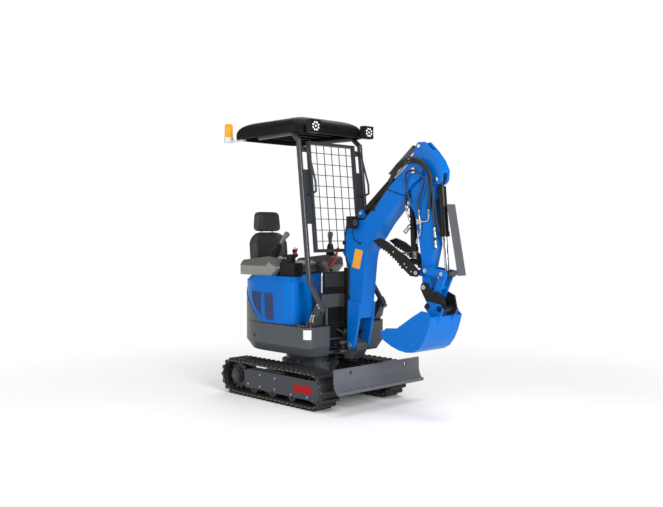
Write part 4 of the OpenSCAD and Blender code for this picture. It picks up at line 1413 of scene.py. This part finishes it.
def lamp_front(site: Site, name: str, body: str, face: tuple[float, float, float], half: float,
               cells: str = "led") -> None:
    """Square work lamp that looks forward: bezel, rear fins, a ring of eight cells and one inside it.

    Args:
        site: makes the pieces.
        name: first part of the pieces' names.
        body: the body they ride on.
        face: middle of the lamp's front face.
        half: half size of the lit square.
        cells: finish of the cells.
    """
    x, y, z = face
    bar, lip, deep = 4, 6, 5
    bars = []
    for end in (-half, half):
        bars.append(block((x, y - half - lip, z + end - bar), (x + deep, y + half + lip, z + end + bar)))
        bars.append(block((x, y + end - bar, z - half), (x + deep, y + end + bar, z + half)))
    fins = [block((x - 58, y - half, z + s), (x - 50, y + half, z + s + 3))
            for s in np.linspace(-half, half - 3, 7)]
    site.piece(f"{name}_bezel", body, bars + fins, "black_plastic", bevel=1.0)
    turn = around(8) + math.pi / 8
    places = np.stack([np.full(8, x), y + half * 0.66 * np.cos(turn), z + half * 0.66 * np.sin(turn)], 1)
    places = np.concatenate([places, [(x, y, z)]])
    cup = np.array([(0.24, 0), (0.24, 0.05), (0.22, 0.07), (0.19, 0.02)]) * half
    eye = np.array([(0.19, 0.01), (0.17, 0.06), (0.1, 0.09), (0.0, 0.1)]) * half
    site.piece(f"{name}_cups", body, [revolve(cup, c, (1, 0, 0), 20) for c in places], "black_plastic")
    site.piece(f"{name}_cells", body, [revolve(eye, c, (1, 0, 0), 20) for c in places], cells)


@dataclass
class Gear:
    """Hoses, fittings, pin ends and labels of the swing bracket, boom, arm and bucket."""

    site: Site
    boom_side: float = 70.0
    arm_side: float = 45.0
    hose_r: float = 8.0
    eye_half: float = 18.0
    paint: float = 0.5
    arm_eye: tuple[float, float] = (1160.0, 1928.0)
    thumb_y: float = 92.0
    tine_half: float = 9.0
    teeth: int = 11
    tooth: float = 15.0
    lamp_face: tuple[float, float, float] = (590.0, -111.0, 1394.0)
    lamp_half: float = 27.0
    foot_y: tuple[float, float] = (50.0, 62.0)
    cylinder_hose_y: float = 22.0

    def build(self) -> None:
        """Makes the working gear's fittings."""
        self.pins()
        self.boom_label()
        lamp_front(self.site, "boom_lamp", "boom", self.lamp_face, self.lamp_half, "dim_lens")
        self.boom_cables()
        self.boom_hoses()
        self.foot_hoses()
        self.pivot_hoses()
        self.arm_fittings()
        self.cylinder_hoses()
        self.rod_eyes()
        self.thumb_teeth()

    def pins(self) -> None:
        """Caps on the ends of the main pins, each on the body that carries its pin."""
        pin = self.site.pin
        ends = {
            "boom": [(pin("boom_pivot"), 97, 20), (pin("arm_pivot"), 83, 22),
                     (pin("arm_barrel_pivot"), 47, 15)],
            "arm": [(pin("bucket_pivot"), 73, 18), (pin("rocker_pivot"), 73, 16),
                    (pin("bucket_barrel_pivot"), 52, 15), (pin("thumb_pivot"), 107, 15),
                    (self.arm_eye, 52, 15), (pin("thumb_barrel_pivot"), 45, 13)],
            "rocker": [(pin("link_pivot"), 73, 15)],
            "swing": [(pin("boom_barrel_pivot"), 45, 15)],
        }
        for body, pins in ends.items():
            caps = [pin_cap((x, s * y, z), (0, s, 0), r) for (x, z), y, r in pins for _, s in SIDES]
            self.site.piece(f"{body}_pin_ends", body, caps, "zinc")

    def rod_eyes(self) -> None:
        """Painted collars round the rods' eyes: a square section turned once about each pin."""
        level, upright = (0.0, 1.0, 0.0), (0.0, 0.0, 1.0)
        link_x, link_z = self.site.pin("link_pivot")
        eyes = {
            "blade_rod": ((690.0, 0.0, 262.0), level, 24.0, 14.0),
            "swing_rod": ((460.0, -113.0, 445.0), upright, 24.0, 13.0),
            "boom_rod": ((415.0, 0.0, 1165.0), level, 26.0, 14.0),
            "arm_rod": ((self.arm_eye[0], 0.0, self.arm_eye[1]), level, 26.0, 14.0),
            "bucket_rod": ((link_x, 0.0, link_z), level, 24.0, 13.0),
            "thumb_rod": ((1085.0, 0.0, 1110.0), level, 22.0, 12.0),
        }
        half = self.eye_half + self.paint
        for rod, (centre, axis, eye_r, pin_r) in eyes.items():
            outer, inner = eye_r + self.paint, pin_r + 1.0
            section = [(inner, -half), (outer, -half), (outer, half), (inner, half)]
            self.site.piece(f"{rod}_eye", rod, grid(turned(section, centre, axis), True, True), "black_paint")

    def thumb_teeth(self) -> None:
        """Saw teeth under the thumb's tines: points along the edge, every other one out along its normal.
        The tines' bolts and their cross pin go with them."""
        edge = np.array([(800, 1232), (900, 1190), (1000, 1120), (1060, 1060)], float)
        run = np.append(0.0, np.cumsum(np.linalg.norm(np.diff(edge, axis=0), axis=1)))
        stations = np.linspace(0.03, 1.0, 2 * self.teeth + 1) * run[-1]
        line = np.stack([np.interp(stations, run, edge[:, k]) for k in (0, 1)], 1)
        way = unit(np.gradient(line, axis=0))
        normal = np.stack([way[:, 1], -way[:, 0]], 1)
        reach = self.tooth * (np.arange(len(line)) % 2)[:, None]
        outline = np.concatenate([line + normal * reach, (line - normal * 6.0)[::-1]])
        half, side_y = self.tine_half + 0.4, self.thumb_y + self.tine_half
        plates = [plate_xz(outline, s * self.thumb_y - half, s * self.thumb_y + half) for _, s in SIDES]
        self.site.piece("thumb_teeth", "thumb", plates, "black_paint")
        places = [(966, 1178), (1072, 1094), (1094, 1070), (1136, 1042)]
        bolts = [heads(Head.STUD, [(x, s * side_y, z) for x, z in places], (0, s, 0), 7.0) for _, s in SIDES]
        self.site.piece("thumb_bolts", "thumb", bolts, "zinc")
        pin = np.array([(990.0, s * (self.thumb_y - 4.0), 1168.0) for _, s in SIDES])
        self.site.piece("thumb_pin", "thumb", tube(pin, 8.0), "zinc")

    def boom_label(self) -> None:
        """Blank label on the boom's right side."""
        outline = [(554, 1195), (634, 1183), (598, 1041), (518, 1053)]
        film = plate_xz(outline, -self.boom_side - FILM, -self.boom_side)
        self.site.piece("boom_blank_label", "boom", film, "orange_film")

    def boom_cables(self) -> None:
        """The lamp's cable down to its grommet, and a thin strap round the boom."""
        y = -self.boom_side - 3
        cable = [(545, y - 14, 1350), (532, y - 4, 1326), (536, y, 1290), (552, y, 1262), (604, y, 1237)]
        grommet = revolve([(9, -2), (9, 3), (6, 6), (0.0, 6)], (606, -self.boom_side, 1236), (0, -1, 0), 20)
        self.site.piece("boom_lamp_cable", "boom", [hose(cable, 3), grommet], "black_plastic")
        top, under = (884.0, 1630.0), (1040.0, 1584.0)
        route = [(top[0], -y, top[1]), (under[0], -y, under[1]), (under[0], y, under[1]), (top[0], y, top[1])]
        strap = np.concatenate([np.linspace(a, b, 12) for a, b in zip(route[:-1], route[1:])])
        self.site.piece("boom_strap", "boom", tube(strap, 2.6, 8), "black_plastic")

    def foot_hoses(self) -> None:
        """Hoses from the house's front to the swing bracket."""
        for side, s in SIDES:
            pair = [hose([(345, s * (y + 40), 560), (372, s * (y + 34), 566), (404, s * (y + 12), 552),
                          (432, s * y, 524), (446, s * y, 506)], 7) for y in self.foot_y]
            self.site.bridge(f"swing_hoses_{side}", ("house", "swing"), joined(pair), "hose",
                             ((355, 0, 560), (440, 0, 515)))

    def boom_hoses(self) -> None:
        """Four hoses up the boom's back and along its top, under the arm cylinder, with clamps."""
        inner, outer = self.foot_y
        hoses = []
        for y in (-outer, -inner, inner, outer):
            line = [(522, y * 0.78, 556), (500, y * 0.8, 584), (481, y * 0.92, 622), (475, y, 680),
                    (475, y, 770), (480, y, 900), (480, y, 1030), (452, y, 1110), (436, y, 1200),
                    (440, y, 1290), (462, y, 1380), (506, y, 1424), (580, y, 1424), (650, y, 1428),
                    (700, y, 1468), (788, y, 1545), (880, y, 1645), (900, y, 1668)]
            hoses.append(hose(line, self.hose_r))
        self.site.piece("boom_hoses", "boom", hoses, "hose")
        clamps = [block((x - dx * 0.5, s * 55 - 18, z - dz), (x + dx * 0.9, s * 55 + 18, z + dz))
                  for x, z, dx, dz in ((470, 830, 30, 14), (430, 1240, 26, 14), (740, 1500, 22, 22))
                  for _, s in SIDES]
        self.site.piece("hose_clamps", "boom", clamps, "black_plastic", bevel=2.0)

    def pivot_hoses(self) -> None:
        """Hoses that arch over the boom's nose to the arm's right side, and one loose loop."""
        for i, (y, lift) in enumerate(((-58.0, 0.0), (-66.0, 16.0), (-52.0, -16.0))):
            line = [(896, -56, 1664), (918, y, 1724 + lift), (976, y - 14, 1784 + lift),
                    (1046, y - 22, 1818 + lift), (1124, y - 26, 1832 + lift),
                    (1207 + lift, y - 26, 1806 + lift * 0.6), (1262 + lift, y - 22, 1750),
                    (1282 + lift, y - 14, 1690), (1276 + lift * 0.6, y - 6, 1610),
                    (1262 + lift * 0.4, y, 1540), (1254 + lift * 0.5, -57, 1480)]
            self.site.bridge(f"pivot_hose_{i + 1}", ("boom", "arm"), hose(line, self.hose_r), "hose",
                             ((1030, 0, 1800), (1240, 0, 1760)))
        loop = [(1165, -56, 1470), (1170, -62, 1543), (1204, -66, 1618), (1224, -72, 1687), (1198, -96, 1734),
                (1137, -104, 1757), (1084, -100, 1735), (1066, -80, 1680), (1072, -68, 1600),
                (1090, -58, 1530)]
        self.site.piece("loop_hose", "arm", hose(loop, 6.5), "hose")

    def arm_fittings(self) -> None:
        """Steel tubes, a tee block and unions on the arm's right side."""
        y = -self.arm_side - 9
        routes = (
            [(1254, -57, 1486), (1254, y, 1440), (1250, y, 1408), (1232, y, 1396), (1190, y, 1394)],
            [(1166, -56, 1476), (1168, y, 1440), (1172, y, 1410)],
            [(1175, y, 1380), (1182, y, 1336), (1174, y, 1304), (1152, y, 1272), (1140, y + 6, 1240)],
        )
        tubes = [hose(route, 6) for route in routes]
        unions = [revolve([(10, 0), (10, 16), (8.5, 18), (8.5, 26), (10, 28), (10, 44)], base, (0, 0, 1), 6)
                  for base in ((1254, y, 1444), (1167, y, 1436), (1181, y, 1318))]
        tee = [block((1152, y - 13, 1376), (1196, y + 9, 1414)),
               heads(Head.BOLT, [(1174, y - 13, 1395)], (0, -1, 0), 9)]
        self.site.piece("arm_tubes", "arm", tubes + unions + tee, "zinc")
        side = -self.arm_side - 2
        front = [(1283, side - 6, 1632), (1284, side, 1560), (1288, side, 1470), (1296, side, 1380),
                 (1304, side, 1290), (1308, side, 1232), (1300, side + 3, 1206)]
        self.site.piece("front_hose", "arm", hose(front, 7), "hose")
        ends = [((1299, side, 1352), (9, 0, -70)), ((1307, side, 1262), (6, 0, -54))]
        self.site.piece("front_hose_unions", "arm", [self.union(base, way) for base, way in ends], "zinc")

    @staticmethod
    def union(base: tuple, way: tuple, radius: float = 10.5) -> Shell:
        """A hose union: two collars and a waist turned about the hose's line.

        Args:
            base: where it starts.
            way: its direction and length.
            radius: the collars' radius.

        Returns:
            The closed surface.
        """
        shape = [(0.8, 0), (1, 0.04), (1, 0.36), (0.82, 0.4), (0.82, 0.6), (1, 0.64), (1, 0.96), (0.8, 1)]
        long = float(np.linalg.norm(way))
        return revolve(np.array(shape) * (radius, long), base, way, 12)

    def cylinder_hoses(self) -> None:
        """Hoses to the bucket and thumb cylinders, their Y in shares of one width, with quick unions."""
        routes = (
            ("bucket", 6.5, [(1262, 1.0, 1560), (1284, 1.3, 1500), (1300, 1.5, 1420), (1316, 1.4, 1350),
                             (1332, 0.9, 1318), (1344, 0.6, 1312)]),
            ("thumb", 6.0, [(1098, 1.0, 1545), (1056, 1.0, 1600), (1024, 1.0, 1560), (1022, 1.0, 1480),
                            (1040, 0.9, 1430), (1050, 0.7, 1405)]),
        )
        for name, radius, route in routes:
            for side, sign in SIDES:
                line = np.array(route) * (1.0, sign * self.cylinder_hose_y, 1.0)
                self.site.piece(f"{name}_hose_{side}", f"{name}_barrel", hose(line, radius), "hose")
        couplings = [
            self.union((1036, -38, 1482), (32, 0, -77), 9), self.union((1076, -40, 1369), (-55, 0, -53), 15),
            revolve([(6, 0), (16, 6), (18, 16), (14, 28), (0.0, 32)], (1044, -36, 1486), (-0.3, 0, 1), 20),
        ]
        self.site.piece("thumb_couplings", "thumb_barrel", couplings, "zinc")


@dataclass
class Studio:
    """Pale floor, soft light and the camera at the picture's place."""

    camera_mm: tuple[float, float, float] = (4888.2, -4503.1, 1318.1)
    yaw: float = 136.027
    pitch: float = -1.475
    lens: float = 44.326
    floor_half: float = 60.0
    fade: tuple[float, float] = (1.2, 4.0)
    target: tuple[float, float, float] = (0.0, 0.0, 0.9)
    reflected: float = 0.22
    ambient: float = 0.38

    def build(self, site: Site) -> None:
        """Makes the camera, the floor, the lamps and the world.

        Args:
            site: gives places in the shared frame.
        """
        self.camera(site)
        self.floor()
        self.lights()
        self.world()
        bpy.context.scene.view_settings.view_transform = "Standard"

    @staticmethod
    def aim(made: bpy.types.Object, way: Vector) -> None:
        """Turns a camera or a lamp to look along a direction."""
        made.rotation_euler = way.to_track_quat("-Z", "Y").to_euler()

    def camera(self, site: Site) -> None:
        """Camera along the fitted direction, at its place in the shared frame.

        Args:
            site: gives the place.
        """
        data = bpy.data.cameras.new("view")
        data.lens = self.lens
        data.sensor_width = 36.0
        data.clip_end = 300.0
        made = added("view", data)
        yaw, pitch = math.radians(self.yaw), math.radians(self.pitch)
        made.location = site.at(self.camera_mm)
        level = math.cos(pitch)
        self.aim(made, Vector((math.cos(yaw) * level, math.sin(yaw) * level, math.sin(pitch))))
        bpy.context.scene.camera = made

    def floor(self) -> None:
        """Wide floor that keeps the shadow near the middle and turns to plain white far away."""
        edge = np.linspace(-1, 1, 9) * self.floor_half
        x, y = np.meshgrid(edge, edge, indexing="ij")
        shell = grid(np.stack([x, y, np.zeros_like(x)], -1))
        mesh = bpy.data.meshes.new("floor")
        mesh.from_pydata(shell.points.tolist(), [], shell.faces[0].tolist())
        made = added("floor", mesh)
        surface = bpy.data.materials.new("pale_floor")
        surface.use_nodes = True
        tree = surface.node_tree
        shader = tree.nodes["Principled BSDF"]
        feed(tree, shader.inputs, {
            "Base Color": (0.93, 0.93, 0.93, 1), "Roughness": 0.6, "Specular IOR Level": 0.15,
        })
        place = node(tree, "TexCoord").outputs["Object"]
        reach = node(tree, "VectorMath", {0: place}, operation="LENGTH").outputs["Value"]
        near, far = self.fade
        fade = node(tree, "MapRange", {"Value": reach, "From Min": near, "From Max": far},
                    interpolation_type="SMOOTHSTEP").outputs["Result"]
        rays = node(tree, "LightPath").outputs
        seen = math_node(tree, "MAXIMUM", rays["Is Camera Ray"], rays["Is Glossy Ray"])
        seen = math_node(tree, "MAXIMUM", seen, rays["Is Transmission Ray"])
        white = node(tree, "Emission").outputs[0]
        share = math_node(tree, "MULTIPLY", fade, seen)
        mix = node(tree, "MixShader", {0: share, 1: shader.outputs[0], 2: white})
        feed(tree, tree.nodes["Material Output"].inputs, {"Surface": mix.outputs[0]})
        mesh.materials.append(surface)
        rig.stage(made)

    def lights(self) -> None:
        """Four large soft lamps: key from the front right, fill, back and top."""
        lamps = (
            ("key", (5.4, -1.7, 2.7), 2.2, 280.0),
            ("fill", (-2.0, -5.5, 3.5), 3.5, 125.0),
            ("back", (-3.5, 4.0, 4.5), 3.5, 90.0),
            ("top", (0.2, 0.0, 6.0), 4.0, 120.0),
        )
        for name, place, size, power in lamps:
            data = bpy.data.lights.new(name, "AREA")
            data.shape = "SQUARE"
            data.size = size
            data.energy = power
            made = added(name, data)
            made.location = place
            self.aim(made, Vector(self.target) - Vector(place))

    def world(self) -> None:
        """White to the camera and through glass, one grey in reflections and another for the rest."""
        world = bpy.data.worlds.new("studio")
        bpy.context.scene.world = world
        world.use_nodes = True
        tree = world.node_tree
        rays = node(tree, "LightPath").outputs
        seen = math_node(tree, "MAXIMUM", rays["Is Camera Ray"], rays["Is Transmission Ray"])
        glossy = math_node(tree, "MULTIPLY", rays["Is Glossy Ray"], self.reflected)
        plain = math_node(tree, "SUBTRACT", 1.0, rays["Is Glossy Ray"])
        light = math_node(tree, "MAXIMUM", glossy, math_node(tree, "MULTIPLY", plain, self.ambient))
        strength = math_node(tree, "MAXIMUM", seen, light)
        feed(tree, tree.nodes["Background"].inputs, {"Color": (1, 1, 1, 1), "Strength": strength})


def dress_nodes(frame: dict, palette: Palette) -> None:
    """Gives every solid of the frame the material of its slot.

    Args:
        palette: makes the materials.
    """
    slots = {part["node"]: part["material_slot"] for part in frame["record"]["subparts"]}
    for name, made in frame["nodes"].items():
        material = palette.material(NODE_FINISH.get(name, slots[name]))
        made.data.materials.clear()
        made.data.materials.append(material)


def main() -> None:
    """Loads the frame, dresses it, adds the fittings and the studio, and notes both boxes."""
    logging.basicConfig(level=logging.INFO, format="%(message)s")
    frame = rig.load()
    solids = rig.bounds()
    slew = next(j for j in frame["joints"] if j["name"] == "slew_turn")
    palette = Palette(slew["pos_m"][0])
    site = Site(frame, palette)
    Studio().build(site)
    dress_nodes(frame, palette)
    for part in (Undercarriage(site), House(site), Station(site), Canopy(site), Gear(site)):
        part.build()
        LOG.info("built %s", type(part).__name__)
    LOG.info("%d pieces", site.count)
    boxes = {"cad": [list(c) for c in solids], "visual": [list(c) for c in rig.bounds()]}
    with open(SIZE_FILE, "w", encoding="utf-8") as out:
        json.dump(boxes, out)


if __name__ == "__main__":
    main()
